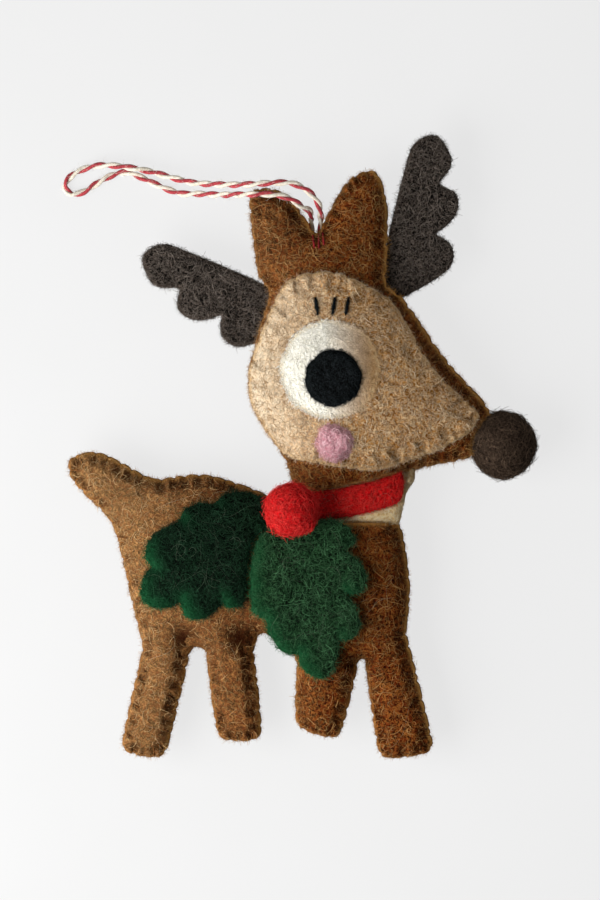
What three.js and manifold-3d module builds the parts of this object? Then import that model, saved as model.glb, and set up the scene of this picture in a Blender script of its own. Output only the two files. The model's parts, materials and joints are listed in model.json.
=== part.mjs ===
// A stuffed felt reindeer ornament on a twine loop, lying on its back as it lies on a table.
// Millimetres: +X runs towards the nose, +Y towards the antlers, +Z up from the table.
// Two felt panels are sewn edge to edge round the filling, for the body and again for the head.
// Plan coordinates are measured from the middle of the neck until the last lines centre the part.

import * as THREE from "three";
import { mergeVertices } from "three/addons/utils/BufferGeometryUtils.js";
import Module from "manifold-3d";

const wasm = await Module();
wasm.setup();

// Felt, filling and clearances
const FELT = 1.8; // thickness of the panels
const THIN_FELT = 1.2; // thickness of the pieces sewn on the face
const SWELL = 6.6; // how far the filling lifts a panel at its fullest
const SWELL_SOFTENING = 1; // blunts the rise beside the seam
const FLAT_CUT = 0.5; // how far the table flattens the back
const SEAM_GAP = 0.3; // between the two panels at their seam
const SEAM_ALLOWANCE = 2.4; // margin that the stitches hold, empty of filling
const LAYER_GAP = 0.4; // between one layer of felt and the next
const FILLING_GAP = 0.9; // between the filling and the felt round it
const EDGE_BOW = 0.12; // how far a cut edge bulges between its corners
const GRID = 3.2; // spacing of the points that carry a panel's swell
const FINE_GRID = 1.8; // the same for the narrow neck and the scarf over it
const LATTICE_WARP = 0.06; // bends the rows of those points, so that no three of them line up
const FIELD_STEP = 1; // spacing of the sheet on which the swell is solved

// Body, measured from the middle of the neck
const CHEST_REACH = 12.4;
const RUMP_REACH = 45.4;
const BACK_RISE = 5.6;
const BELLY_DROP = 29.4;
const NECK_LINE = 4.6; // straight cut of the chest, below the middle of the neck
const TAIL_LENGTH = 10.8;
const TAIL_WIDTH = 9.4;

// Legs: the hind pair is placed from the rump and the fore pair from the chest
const THIGH_WIDTH = 9.6;
const SHOULDER_WIDTH = 12.4;
const FORELEG_WIDTH = 8.2;
const HOOF_WIDTH = 9;
const TOE_WIDTH = 11.2;
const OUTER_LEG_LENGTH = 22.6;
const INNER_LEG_LENGTH = 18.8;

// Head, measured from the middle of its lower edge
const HEAD_RISE = 3; // lower edge of the head above the middle of the neck
const SNOUT_REACH = 29;
const CHEEK_REACH = 20.2;
const CROWN_RISE = 49.6; // the notch between the ears
const EAR_LENGTH = 12.6;
const EAR_WIDTH = 12.6;
const BROW_LEFT = -15.4; // where the ears meet the sides of the head
const BROW_RIGHT = 7.4;
const BROW_RISE = 38.6;
const PATCH_MARGIN = 0.4; // tan face inside the edge of the cheek

// Pieces of the face
const EYE_RADIUS = 9.8;
const EYE_X = -3.6;
const EYE_RISE = 23; // above the lower edge of the head
const PUPIL_RADIUS = 5.6;
const CHEEK_RADIUS = 3.7;
const LASH_LENGTH = 4.2;
const LASH_WIDTH = 0.7;
const NOSE_RADIUS = 6.7;

// Antlers, leaves, berry and scarf
const ANTLER_FELT = 2;
const ANTLER_LENGTH = 24.6;
const ANTLER_ROOT = 1.7; // how far an antler reaches into the seam
const LEAF_FELT = 1.6;
const LEAF_REACH = 4; // the stem's end, from the middle of the berry
const BERRY_RADIUS = 5.2;
const BERRY_FOOT = 4; // radius of the berry's flattened underside
const SCARF_FELT = 1.5;
const SCARF_WIDTH = 4.6;
const SCARF_LENGTH = 20.6;
const SCARF_SLANT = 2; // its lower edge is this much shorter, so that the end follows the throat
const SCARF_BEND = 0.01; // how fast the strip curves up towards the throat

// Twine loop
const TWINE = 1.4;
const KNOT_RADIUS = 1.6;
const KNOT_DEPTH = 1.9; // below the notch between the ears

const COLOURS = {
  brown: 0x7a5029,
  tan: 0xbd9c6b,
  cream: 0xf4efdc,
  black: 0x14110f,
  pink: 0xcf9097,
  charcoal: 0x3a2f28,
  antler: 0x332b26,
  red: 0xad0d16,
  green: 0x1b4528,
  beige: 0xc2a576,
  filling: 0xece6d8,
  twine: 0xd98b86,
};

const ornament = new THREE.Group();

function addPiece(name, geometry, colour) {
  const material = new THREE.MeshStandardMaterial({ color: colour, roughness: 0.95, metalness: 0 });
  const mesh = new THREE.Mesh(geometry, material);
  mesh.name = name;
  ornament.add(mesh);
  return mesh;
}

// Outlines: corners are [x, y, rounding], and each corner is rounded off over that length of its edges.

function shifted(corners, dx, dy) {
  return corners.map(([x, y, round]) => [x + dx, y + dy, round]);
}

function outlineOf(corners, step = GRID * 0.85) {
  const points = [];
  const count = corners.length;
  const at = (i) => new THREE.Vector2(...corners[(i + count) % count].slice(0, 2));
  const roundAt = (i) => {
    const shortest = Math.min(at(i).distanceTo(at(i - 1)), at(i).distanceTo(at(i + 1)));
    return Math.min(corners[(i + count) % count][2], shortest * 0.45);
  };
  for (let i = 0; i < count; i += 1) {
    const corner = at(i);
    const before = corner.clone().lerp(at(i - 1), roundAt(i) / corner.distanceTo(at(i - 1)));
    const after = corner.clone().lerp(at(i + 1), roundAt(i) / corner.distanceTo(at(i + 1)));
    const arc = new THREE.QuadraticBezierCurve(before, corner, after);
    const bends = Math.max(2, Math.min(4, Math.ceil((roundAt(i) * 2) / step) + 1));
    points.push(...arc.getPoints(bends));
    const next = at(i + 1).lerp(corner, roundAt(i + 1) / corner.distanceTo(at(i + 1)));
    const edge = next.clone().sub(after);
    const outward = new THREE.Vector2(edge.y, -edge.x).normalize();
    const parts = Math.ceil(edge.length() / step);
    for (let k = 1; k < parts; k += 1) {
      const bow = EDGE_BOW * Math.sin((Math.PI * k) / parts);
      points.push(after.clone().lerp(next, k / parts).addScaledVector(outward, bow));
    }
  }
  return points;
}

// Moves every edge of an outline inwards by the same distance.
function inset(corners, distance) {
  const count = corners.length;
  const at = (i) => new THREE.Vector2(...corners[(i + count) % count].slice(0, 2));
  return corners.map(([x, y, round], i) => {
    const along = at(i).sub(at(i - 1)).normalize();
    const onward = at(i + 1).sub(at(i)).normalize();
    const miter = new THREE.Vector2(-along.y - onward.y, along.x + onward.x).normalize();
    const reach = distance / Math.max(0.5, miter.dot(new THREE.Vector2(-along.y, along.x)));
    return [x + miter.x * reach, y + miter.y * reach, round];
  });
}

function circleOf(x, y, radius, sides) {
  const turns = Array.from({ length: sides }, (_, i) => (2 * Math.PI * i) / sides);
  return turns.map((turn) => new THREE.Vector2(x + radius * Math.cos(turn), y + radius * Math.sin(turn)));
}

function isInside(outline, x, y) {
  let inside = false;
  outline.forEach((a, i) => {
    const b = outline[(i + 1) % outline.length];
    if (a.y > y !== b.y > y && x < ((b.x - a.x) * (y - a.y)) / (b.y - a.y) + a.x) inside = !inside;
  });
  return inside;
}

function edgeDistance(outline, x, y) {
  let least = Infinity;
  outline.forEach((a, i) => {
    const b = outline[(i + 1) % outline.length];
    const span = b.clone().sub(a);
    const along = ((x - a.x) * span.x + (y - a.y) * span.y) / span.lengthSq();
    const near = a.clone().addScaledVector(span, Math.min(1, Math.max(0, along)));
    least = Math.min(least, Math.hypot(near.x - x, near.y - y));
  });
  return least;
}

// The pattern of the body: chest, back, tail, rump and four legs, anticlockwise

const CHEST_X = CHEST_REACH;
const RUMP_X = -RUMP_REACH;
const HOOF_ROUND = 2.8;
const hindOuter = { hip: RUMP_X + 9.2, foot: RUMP_X + 4.2, top: THIGH_WIDTH, hoof: HOOF_WIDTH, heel: 1.6 };
const hindInner = { hip: RUMP_X + 21.6, foot: RUMP_X + 23.8, top: THIGH_WIDTH, hoof: HOOF_WIDTH };
const foreInner = {
  hip: CHEST_X - 16.4, foot: CHEST_X - 18.6, top: SHOULDER_WIDTH, hoof: HOOF_WIDTH, heel: 2.6, rear: -2.4, fore: -2.2,
};
const foreOuter = {
  hip: CHEST_X - 5, foot: CHEST_X - 0.6, top: FORELEG_WIDTH, hoof: TOE_WIDTH, toe: 1.4, rear: -2.2, fore: 3,
};

// A leg's sides may start above or below the belly, and the ends of its sole may lift.
function legCorners({ hip, foot, top, hoof, heel = 0, toe = 0, rear = 0, fore = 0 }, length) {
  const sole = -BELLY_DROP - length;
  return [
    [hip - top / 2, rear - BELLY_DROP, 1.6],
    [foot - hoof / 2, sole + heel, HOOF_ROUND],
    [foot + hoof / 2, sole + toe, HOOF_ROUND],
    [hip + top / 2, fore - BELLY_DROP, 1.6],
  ];
}

const TAIL_X = RUMP_X + 6.4; // where the tail leaves the back
const bodyCorners = [
  [CHEST_X - 2, -NECK_LINE, 1],
  [-11.4, -NECK_LINE, 0.8],
  [-15.6, 0.8, 2],
  [RUMP_X + 16.6, BACK_RISE, 7],
  [TAIL_X, BACK_RISE - 1.8, 2.5],
  [RUMP_X - TAIL_LENGTH + 6, BACK_RISE + 4.4, 3.4],
  [RUMP_X - TAIL_LENGTH, BACK_RISE + 3, 2.8],
  [RUMP_X - TAIL_LENGTH + 0.4, BACK_RISE + 4.4 - TAIL_WIDTH * 0.6, 2.4],
  [RUMP_X - 1.6, BACK_RISE - TAIL_WIDTH - 0.6, 3],
  [RUMP_X + 0.2, -11.6, 4],
  ...legCorners(hindOuter, OUTER_LEG_LENGTH),
  ...legCorners(hindInner, INNER_LEG_LENGTH),
  [hindInner.hip + THIGH_WIDTH / 2 + 1.8, 3.6 - BELLY_DROP, 2.4],
  ...legCorners(foreInner, INNER_LEG_LENGTH),
  ...legCorners(foreOuter, OUTER_LEG_LENGTH),
  [CHEST_X + 0.2, -17.4, 8],
];

// The pattern of the head: jaw, snout, two ears and cheek, anticlockwise

const NOTCH_X = -6.4;
const earCorners = [
  [NOTCH_X + EAR_WIDTH + 1.8, CROWN_RISE + EAR_LENGTH * 0.55, 4.5],
  [NOTCH_X + EAR_WIDTH - 0.6, CROWN_RISE + EAR_LENGTH + 1.4, 3.2],
  [NOTCH_X + EAR_WIDTH * 0.5, CROWN_RISE + EAR_LENGTH - 0.8, 4],
];
const farEarCorners = [
  [NOTCH_X - EAR_WIDTH * 0.48, CROWN_RISE + EAR_LENGTH * 0.74, 4],
  [NOTCH_X - EAR_WIDTH - 1.2, CROWN_RISE + EAR_LENGTH * 0.8, 3.6],
  [NOTCH_X - EAR_WIDTH + 1, CROWN_RISE - 8.2, 2],
];
const headCorners = shifted([
  [-10.6, -2.1, 1.2],
  [9.4, 2.2, 2],
  [17, 3.9, 2],
  [SNOUT_REACH - 3.4, 5.6, 3],
  [SNOUT_REACH + 0.8, 10.4, 3],
  [SNOUT_REACH - 0.8, 15.4, 3],
  [19.6, 24.6, 6],
  [BROW_RIGHT + 3, BROW_RISE - 0.6, 2],
  [BROW_RIGHT, BROW_RISE + 1, 1.5],
  ...earCorners,
  [NOTCH_X, CROWN_RISE, 1.2],
  ...farEarCorners,
  [BROW_LEFT, BROW_RISE, 1.5],
  [-CHEEK_REACH, 22.6, 7],
  [0.8 - CHEEK_REACH, 15.4, 6],
  [-12.2, 4.8, 5],
], 0, HEAD_RISE);

// The pattern of the neck: tabs above and below lie inside the head and the body
const TAB = SEAM_ALLOWANCE - LAYER_GAP;
const neckCorners = [
  [-8.4, -NECK_LINE - TAB, 0.5],
  [7.6, -NECK_LINE - TAB, 0.5],
  [8, 0.5 - NECK_LINE, 0.3],
  [CHEST_X - 2, 0.6 - NECK_LINE, 0.5],
  [CHEST_X - 1.3, -0.6, 2],
  [CHEST_X - 0.5, HEAD_RISE - 0.6, 2],
  [15, HEAD_RISE + 2.7, 0.6],
  [10.6, HEAD_RISE + 1.9, 0.3],
  [10.2, HEAD_RISE + 2.2 + TAB, 0.5],
  [-8, HEAD_RISE - 1.6 + TAB, 0.5],
  [-8.2, HEAD_RISE - 2.2, 0.3],
  [-10.2, HEAD_RISE - 2.7, 0.5],
  [-10.4, 0.8 - NECK_LINE, 0.5],
  [-8.8, 0.7 - NECK_LINE, 0.3],
];

const bodyOutline = outlineOf(bodyCorners);
const headOutline = outlineOf(headCorners);
const neckOutline = outlineOf(neckCorners, FINE_GRID);

// The swell of stuffed felt: a sheet held along the outline bulges under even pressure, so its rise
// solves Poisson's equation over the pattern, and the square root makes a narrow limb's section round.

function solveSwell(outlines) {
  const box = new THREE.Box2().setFromPoints(outlines.flat()).expandByScalar(2 * FIELD_STEP);
  const columns = Math.ceil((box.max.x - box.min.x) / FIELD_STEP) + 1;
  const rows = Math.ceil((box.max.y - box.min.y) / FIELD_STEP) + 1;
  const rise = new Float64Array(columns * rows);
  const held = [];
  for (let row = 1; row < rows - 1; row += 1) {
    for (let column = 1; column < columns - 1; column += 1) {
      const x = box.min.x + column * FIELD_STEP;
      const y = box.min.y + row * FIELD_STEP;
      if (outlines.some((outline) => isInside(outline, x, y))) held.push(row * columns + column);
    }
  }
  const OVERSHOOT = 1.9;
  const ROUNDS = 260;
  for (let round = 0; round < ROUNDS; round += 1) {
    held.forEach((i) => {
      const beside = rise[i - 1] + rise[i + 1] + rise[i - columns] + rise[i + columns];
      rise[i] += OVERSHOOT * ((beside + FIELD_STEP ** 2) / 4 - rise[i]);
    });
  }
  return (x, y) => {
    const column = Math.min(columns - 2, Math.max(0, (x - box.min.x) / FIELD_STEP));
    const row = Math.min(rows - 2, Math.max(0, (y - box.min.y) / FIELD_STEP));
    const i = Math.floor(row) * columns + Math.floor(column);
    const across = column - Math.floor(column);
    const lower = THREE.MathUtils.lerp(rise[i], rise[i + 1], across);
    const upper = THREE.MathUtils.lerp(rise[i + columns], rise[i + columns + 1], across);
    return THREE.MathUtils.lerp(lower, upper, row - Math.floor(row));
  };
}

function peakOver(outline, height) {
  const box = new THREE.Box2().setFromPoints(outline);
  let peak = 0;
  for (let x = box.min.x; x < box.max.x; x += FIELD_STEP) {
    for (let y = box.min.y; y < box.max.y; y += FIELD_STEP) {
      if (isInside(outline, x, y)) peak = Math.max(peak, height(x, y));
    }
  }
  return peak;
}

const sheetRise = solveSwell([bodyOutline, neckOutline, headOutline]);
const softened = (x, y) => Math.sqrt(sheetRise(x, y) + SWELL_SOFTENING) - Math.sqrt(SWELL_SOFTENING);
const bodyPeak = peakOver(bodyOutline, softened);
const headPeak = peakOver(headOutline, softened);
const swell = (x, y) => (SWELL * softened(x, y)) / Math.max(bodyPeak, headPeak);

// Heights of the felt above the table
const lowerPeak = (SWELL * Math.min(bodyPeak, headPeak)) / Math.max(bodyPeak, headPeak);
const seamHeight = lowerPeak + FELT + SEAM_GAP / 2 - FLAT_CUT;
const frontInner = (x, y) => seamHeight + SEAM_GAP / 2 + swell(x, y);
const frontOuter = (x, y) => frontInner(x, y) + FELT;
const backInner = (x, y) => Math.max(seamHeight - SEAM_GAP / 2 - swell(x, y), FELT - FLAT_CUT);
const backOuter = (x, y) => Math.max(seamHeight - SEAM_GAP / 2 - swell(x, y) - FELT, 0);
const raised = (height, by) => (x, y) => height(x, y) + by;

// Felt solids: an outline filled with triangles, carried up to two heights and closed round its rim

function flipToDelaunay(points, faces) {
  const PASSES = 80;
  const bulge = (a, b, c, d) => {
    const rows = [a, b, c].map((i) => points[i].clone().sub(points[d]));
    const squares = rows.map((row) => row.lengthSq());
    return squares[0] * rows[1].cross(rows[2]) + squares[1] * rows[2].cross(rows[0])
      + squares[2] * rows[0].cross(rows[1]);
  };
  const area = (a, b, c) => points[b].clone().sub(points[a]).cross(points[c].clone().sub(points[a]));
  for (let pass = 0; pass < PASSES; pass += 1) {
    const owners = new Map();
    faces.forEach((face, f) => face.forEach((a, k) => owners.set(`${a},${face[(k + 1) % 3]}`, [f, k])));
    const changed = new Set();
    owners.forEach(([f, k], edge) => {
      const other = owners.get(edge.split(",").reverse().join(","));
      if (!other || changed.has(f) || changed.has(other[0])) return;
      const [a, b, c] = [faces[f][k], faces[f][(k + 1) % 3], faces[f][(k + 2) % 3]];
      const d = faces[other[0]][(other[1] + 2) % 3];
      if (bulge(a, b, c, d) <= 1e-9 || area(c, a, d) <= 1e-9 || area(d, b, c) <= 1e-9) return;
      faces[f] = [c, a, d];
      faces[other[0]] = [d, b, c];
      changed.add(f).add(other[0]);
    });
    if (changed.size === 0) return faces;
  }
  return faces;
}

function feltSolid(outline, low, high, spacing = GRID) {
  const lattice = [];
  const box = new THREE.Box2().setFromPoints(outline);
  const rowHeight = spacing * Math.sqrt(0.75);
  for (let row = Math.floor(box.min.y / rowHeight); row * rowHeight < box.max.y; row += 1) {
    const stagger = row % 2 === 0 ? 0 : spacing / 2;
    for (let i = Math.floor(box.min.x / spacing); i * spacing < box.max.x; i += 1) {
      const point = new THREE.Vector2(i * spacing + stagger, row * rowHeight);
      point.x += LATTICE_WARP * spacing * Math.sin(point.y + 1);
      point.y += LATTICE_WARP * spacing * Math.sin(1.3 * point.x + 2);
      const clear = edgeDistance(outline, point.x, point.y) > spacing * 0.5;
      if (clear && isInside(outline, point.x, point.y)) lattice.push(point);
    }
  }
  const points = [...outline, ...lattice];
  const flat = THREE.ShapeUtils.triangulateShape([...outline], lattice.map((point) => [point]));
  const faces = flipToDelaunay(points, flat);
  const lows = points.map(({ x, y }) => [x, y, low(x, y)]);
  const highs = points.map(({ x, y }) => [x, y, high(x, y)]);
  const top = points.length;
  const index = [];
  faces.forEach(([a, b, c]) => index.push(top + a, top + b, top + c, a, c, b));
  outline.forEach((_, a) => {
    const b = (a + 1) % outline.length;
    index.push(a, b, top + b, a, top + b, top + a);
  });
  const geometry = new THREE.BufferGeometry();
  geometry.setAttribute("position", new THREE.Float32BufferAttribute([...lows, ...highs].flat(), 3));
  geometry.setIndex(index);
  return geometry;
}

// Cutting and joining

function solidOf(geometry) {
  const bare = geometry.clone();
  bare.deleteAttribute("normal");
  bare.deleteAttribute("uv");
  const merged = mergeVertices(bare, 1e-4);
  const vertProperties = new Float32Array(merged.attributes.position.array);
  const triVerts = new Uint32Array(merged.index.array);
  return new wasm.Manifold(new wasm.Mesh({ numProp: 3, vertProperties, triVerts }));
}

function geometryOf(solid) {
  const { vertProperties, triVerts } = solid.getMesh();
  const geometry = new THREE.BufferGeometry();
  geometry.setAttribute("position", new THREE.BufferAttribute(vertProperties, 3));
  geometry.setIndex(new THREE.BufferAttribute(triVerts, 1));
  return geometry;
}

function cutBy(geometry, cutters) {
  return geometryOf(cutters.reduce((solid, cutter) => solid.subtract(cutter), solidOf(geometry)));
}

function ballAt(x, y, z, radius, sides = 24) {
  const geometry = new THREE.SphereGeometry(radius, sides, sides / 2);
  return geometry.rotateX(Math.PI / 2).translate(x, y, z);
}

// Antlers: one pattern, along its straight edge and across it, cut once and once mirrored

const antlerPattern = [
  [-10, 3.2, 0.5],
  [-1, 0.8, 2],
  [ANTLER_LENGTH - 3, -1, 4],
  [ANTLER_LENGTH + 0.6, 3.2, 3.4],
  [ANTLER_LENGTH - 4.2, 8.6, 3.2],
  [15.2, 6.6, 0.5],
  [14.8, 11.2, 2.8],
  [10.8, 12.3, 2.6],
  [7.2, 10.6, 2],
  [5.6, 9, 0.5],
  [4.8, 13.4, 2.8],
  [0.8, 14.8, 2.8],
  [-4, 11.4, 2],
  [-10, 5.4, 0.5],
];

function antlerCorners(x, y, bearing, side) {
  const turn = new THREE.Vector2(Math.cos(bearing), Math.sin(bearing));
  const corners = antlerPattern.map(([along, across, round]) => [
    x + along * turn.x - side * across * turn.y,
    y + along * turn.y + side * across * turn.x,
    round,
  ]);
  return side > 0 ? corners : corners.reverse();
}

const slab = (corners, half) => feltSolid(outlineOf(corners), () => seamHeight - half, () => seamHeight + half);
const SLANT = THREE.MathUtils.degToRad(18.4);
const antlers = {
  antler_left: antlerCorners(BROW_LEFT - 1.6, HEAD_RISE + BROW_RISE + 2.4, Math.PI - SLANT, 1),
  antler_right: antlerCorners(BROW_RIGHT - 0.5, HEAD_RISE + BROW_RISE + 9.2, Math.PI / 2 - SLANT, -1),
};
const antlerPockets = Object.values(antlers)
  .map((corners) => solidOf(slab(inset(corners, -LAYER_GAP), ANTLER_FELT / 2 + LAYER_GAP)));
const seamDepth = solidOf(slab(inset(headCorners, ANTLER_ROOT), ANTLER_FELT));
Object.entries(antlers).forEach(([name, corners]) => {
  addPiece(name, cutBy(slab(corners, ANTLER_FELT / 2), [seamDepth]), COLOURS.antler);
});

// Knot of the twine, drawn into the seam at the notch between the ears, with its two ends coming out

const NOTCH_Y = HEAD_RISE + CROWN_RISE;
const TWINE_EXIT = 3.4; // where the loose twine starts, above the notch
const STRAND_APART = TWINE + 0.5;

function knotSolid(grow) {
  const stubs = [-1, 1].map((side) => {
    const length = TWINE_EXIT + KNOT_DEPTH;
    const stub = new THREE.CylinderGeometry(TWINE / 2 + grow, TWINE / 2 + grow, length, 8);
    const x = NOTCH_X + (side * STRAND_APART) / 2;
    return solidOf(stub.translate(x, NOTCH_Y - KNOT_DEPTH + length / 2, seamHeight));
  });
  const ball = solidOf(ballAt(NOTCH_X, NOTCH_Y - KNOT_DEPTH, seamHeight, KNOT_RADIUS + grow, 12));
  return stubs.reduce((solid, stub) => solid.add(stub), ball);
}

addPiece("loop_knot", geometryOf(knotSolid(0)), COLOURS.twine);

// Panels, filling and neck

const NOSE_X = 31;
const NOSE_Y = HEAD_RISE + 8;
const nosePocket = solidOf(ballAt(NOSE_X, NOSE_Y, seamHeight, NOSE_RADIUS + LAYER_GAP));
const knotPocket = knotSolid(LAYER_GAP);
const headCutters = [...antlerPockets, knotPocket, nosePocket];
const fillingOf = (corners) => feltSolid(
  outlineOf(inset(corners, SEAM_ALLOWANCE)),
  raised(backInner, FILLING_GAP),
  raised(frontInner, -FILLING_GAP),
);

addPiece("body_front_panel", feltSolid(bodyOutline, frontInner, frontOuter), COLOURS.brown);
addPiece("body_back_panel", feltSolid(bodyOutline, backOuter, backInner), COLOURS.brown);
addPiece("body_filling", fillingOf(bodyCorners), COLOURS.filling);
addPiece("head_front_panel", cutBy(feltSolid(headOutline, frontInner, frontOuter), headCutters), COLOURS.brown);
addPiece("head_back_panel", cutBy(feltSolid(headOutline, backOuter, backInner), headCutters), COLOURS.brown);
addPiece("head_filling", cutBy(fillingOf(headCorners), [nosePocket, knotPocket]), COLOURS.filling);

const NECK_RIM = 0.9; // half the neck's thickness along its open sides
const neckHalf = (x, y) => Math.max(swell(x, y) - LAYER_GAP, NECK_RIM);
const neckTop = (x, y) => seamHeight + neckHalf(x, y);
const neckUnder = (x, y) => Math.max(seamHeight - neckHalf(x, y), FELT - FLAT_CUT + LAYER_GAP);
addPiece("neck_sleeve", feltSolid(neckOutline, neckUnder, neckTop, FINE_GRID), COLOURS.beige);

// Face: tan patch, then the eye, the lashes and the cheek on top of it

const faceCorners = shifted([
  [-12.4, 6, 2],
  [-4, 4.2, 4],
  [5.4, 2.9, 6],
  [12.4, 5, 4],
  [19.2, 7.6, 4],
  [SNOUT_REACH - 4.6, 10.6, 1.6],
  [SNOUT_REACH - 2.2, 13.8, 1.2],
  [17, 22.6, 6],
  [BROW_RIGHT + 2.6, BROW_RISE - 3.4, 3],
  [BROW_RIGHT + 1, BROW_RISE - 1.4, 2],
  [-2.6, 43, 6],
  [-11.6, 41.2, 4],
  [-14.2, 37, 2],
  [PATCH_MARGIN - CHEEK_REACH, 22.6, 7],
  [PATCH_MARGIN - CHEEK_REACH + 0.8, 15.6, 6],
], 0, HEAD_RISE);
const EYE_Y = HEAD_RISE + EYE_RISE;
const onPanel = raised(frontOuter, LAYER_GAP);
const onPatch = raised(onPanel, THIN_FELT + LAYER_GAP);
const onEye = raised(onPatch, THIN_FELT + LAYER_GAP);
const appliedAt = (outline, seat) => feltSolid(outline, seat, raised(seat, THIN_FELT));

const facePatch = appliedAt(outlineOf(faceCorners), onPanel);
addPiece("face_patch", cutBy(facePatch, [nosePocket]), COLOURS.tan);
addPiece("eye_white", appliedAt(circleOf(EYE_X, EYE_Y, EYE_RADIUS, 28), onPatch), COLOURS.cream);
addPiece("eye_pupil", appliedAt(circleOf(EYE_X + 0.6, EYE_Y - 1.8, PUPIL_RADIUS, 20), onEye), COLOURS.black);
addPiece("cheek_spot", appliedAt(circleOf(EYE_X + 0.8, EYE_Y - 14.6, CHEEK_RADIUS, 16), onPatch), COLOURS.pink);

const LASH_FOOT = EYE_Y + EYE_RADIUS + 0.6;
const lashes = [
  { foot: EYE_X - 2.4, lean: -0.15 },
  { foot: EYE_X + 0.4, lean: 0.12 },
  { foot: EYE_X + 3, lean: 0.15 },
];
lashes.forEach(({ foot, lean }, i) => {
  const tip = foot + lean * LASH_LENGTH;
  const corners = [
    [foot - LASH_WIDTH / 2, LASH_FOOT, 0.3],
    [foot + LASH_WIDTH / 2, LASH_FOOT, 0.3],
    [tip + LASH_WIDTH / 2, LASH_FOOT + LASH_LENGTH, 0.3],
    [tip - LASH_WIDTH / 2, LASH_FOOT + LASH_LENGTH, 0.3],
  ];
  addPiece(`eyelash_${i + 1}`, appliedAt(outlineOf(corners, LASH_WIDTH), onPatch), COLOURS.black);
});

addPiece("nose_ball", ballAt(NOSE_X, NOSE_Y, seamHeight, NOSE_RADIUS), COLOURS.charcoal);

// Scarf: a strip across the front of the neck, just below the head, along a parabola

const scarfLow = new THREE.Vector2(-8.7, HEAD_RISE - 4.35); // the foot of its middle line, under the berry
const SCARF_PARTS = 5;
const scarfStations = Array.from({ length: SCARF_PARTS + 1 }, (_, i) => i / SCARF_PARTS);
const scarfEdge = (side) => scarfStations.map((share, i) => {
  const dx = share * (SCARF_LENGTH - (side < 0 ? SCARF_SLANT : 0));
  const across = new THREE.Vector2(-2 * SCARF_BEND * dx, 1).normalize();
  const point = new THREE.Vector2(dx, SCARF_BEND * dx ** 2).add(scarfLow);
  point.addScaledVector(across, (side * SCARF_WIDTH) / 2);
  return [point.x, point.y, i % SCARF_PARTS === 0 ? 1 : 2];
});
const scarfCorners = [...scarfEdge(-1), ...scarfEdge(1).reverse()];
const onNeck = raised(neckTop, LAYER_GAP);
const scarfOutline = outlineOf(scarfCorners, FINE_GRID);
addPiece("scarf_band", feltSolid(scarfOutline, onNeck, raised(onNeck, SCARF_FELT), FINE_GRID), COLOURS.red);

// Holly: two leaves whose stems meet under the berry, each bent over the body along its length only

const BERRY_X = -11.3;
const BERRY_Y = -1.8;
const rearLeafCorners = [
  [-13.8, -0.8, 0.8],
  [-20.8, 1.5, 2.6],
  [-25, 1, 1.6],
  [-26.4, -1.3, 0.4],
  [-29.4, -0.7, 1.6],
  [-32.2, -1.8, 1.6],
  [-33.2, -4.4, 0.4],
  [-37.4, -6.3, 1.6],
  [-39.8, -8.2, 1.8],
  [-40.2, -11.8, 1.2],
  [-38.4, -13, 0.4],
  [-40.6, -15.6, 2],
  [-41, -20.4, 2.2],
  [-36.6, -21.4, 2],
  [-33, -19.6, 0.4],
  [-32.2, -23.2, 1.6],
  [-28.2, -23.2, 2],
  [-24.8, -19.6, 0.4],
  [-24, -21.4, 1.2],
  [-21.2, -20.8, 1],
  [-20.7, -13, 1.5],
  [-19.6, -7.2, 2],
  [-15.4, -4.6, 1],
];
const frontLeafCorners = [
  [-13, -5, 1],
  [-17.8, -6.8, 2],
  [-19.2, -13, 3],
  [-19.4, -20.4, 1.6],
  [-18.4, -22.6, 1],
  [-16.2, -23.4, 0.4],
  [-16, -26.4, 1.6],
  [-13.4, -29.8, 1.6],
  [-11.6, -30.6, 0.8],
  [-9.8, -30.4, 0.4],
  [-9.2, -33.2, 1.4],
  [-7, -35.2, 1.8],
  [-4.6, -35.4, 1.6],
  [-1.8, -30.8, 1.6],
  [-2.6, -27.6, 0.4],
  [1.6, -27.4, 1.6],
  [2.2, -23.6, 2],
  [1.2, -20.6, 1.6],
  [-1.7, -17.8, 0.4],
  [2.6, -18.8, 1.4],
  [3.8, -15.8, 2],
  [2, -11.6, 1.6],
  [-1.5, -9.7, 0.4],
  [1.7, -8.6, 1.2],
  [0.5, -5.8, 1.6],
  [-1.4, -4.4, 1.6],
  [-3.2, -3.8, 1],
  [-9, -4.9, 1],
];
const SEAT_STEP = 1;
const SEAT_BLEND = 3; // stretch of leaf that bends as one

function leafSeat(outline, bearing) {
  const along = ({ x, y }) => (x - BERRY_X) * bearing.x + (y - BERRY_Y) * bearing.y;
  const length = Math.ceil(Math.max(...outline.map(along)) / SEAT_STEP);
  const crest = new Array(length + 1).fill(0);
  const box = new THREE.Box2().setFromPoints(outline);
  for (let x = box.min.x; x < box.max.x; x += SEAT_STEP) {
    for (let y = box.min.y; y < box.max.y; y += SEAT_STEP) {
      const station = Math.round(along({ x, y }) / SEAT_STEP);
      const covered = isInside(outline, x, y) && isInside(bodyOutline, x, y);
      if (covered && station >= 0) crest[station] = Math.max(crest[station], frontOuter(x, y));
    }
  }
  const window = (values, i) => values.slice(Math.max(0, i - SEAT_BLEND), i + SEAT_BLEND + 1);
  const highest = crest.map((_, i) => Math.max(...window(crest, i)));
  const eased = highest.map((_, i) => {
    const near = window(highest, i);
    return near.reduce((sum, value) => sum + value, 0) / near.length;
  });
  return (x, y) => {
    const station = Math.min(length - 1e-6, Math.max(0, along({ x, y }) / SEAT_STEP));
    const i = Math.floor(station);
    return THREE.MathUtils.lerp(eased[i], eased[i + 1], station - i) + LAYER_GAP;
  };
}

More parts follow.
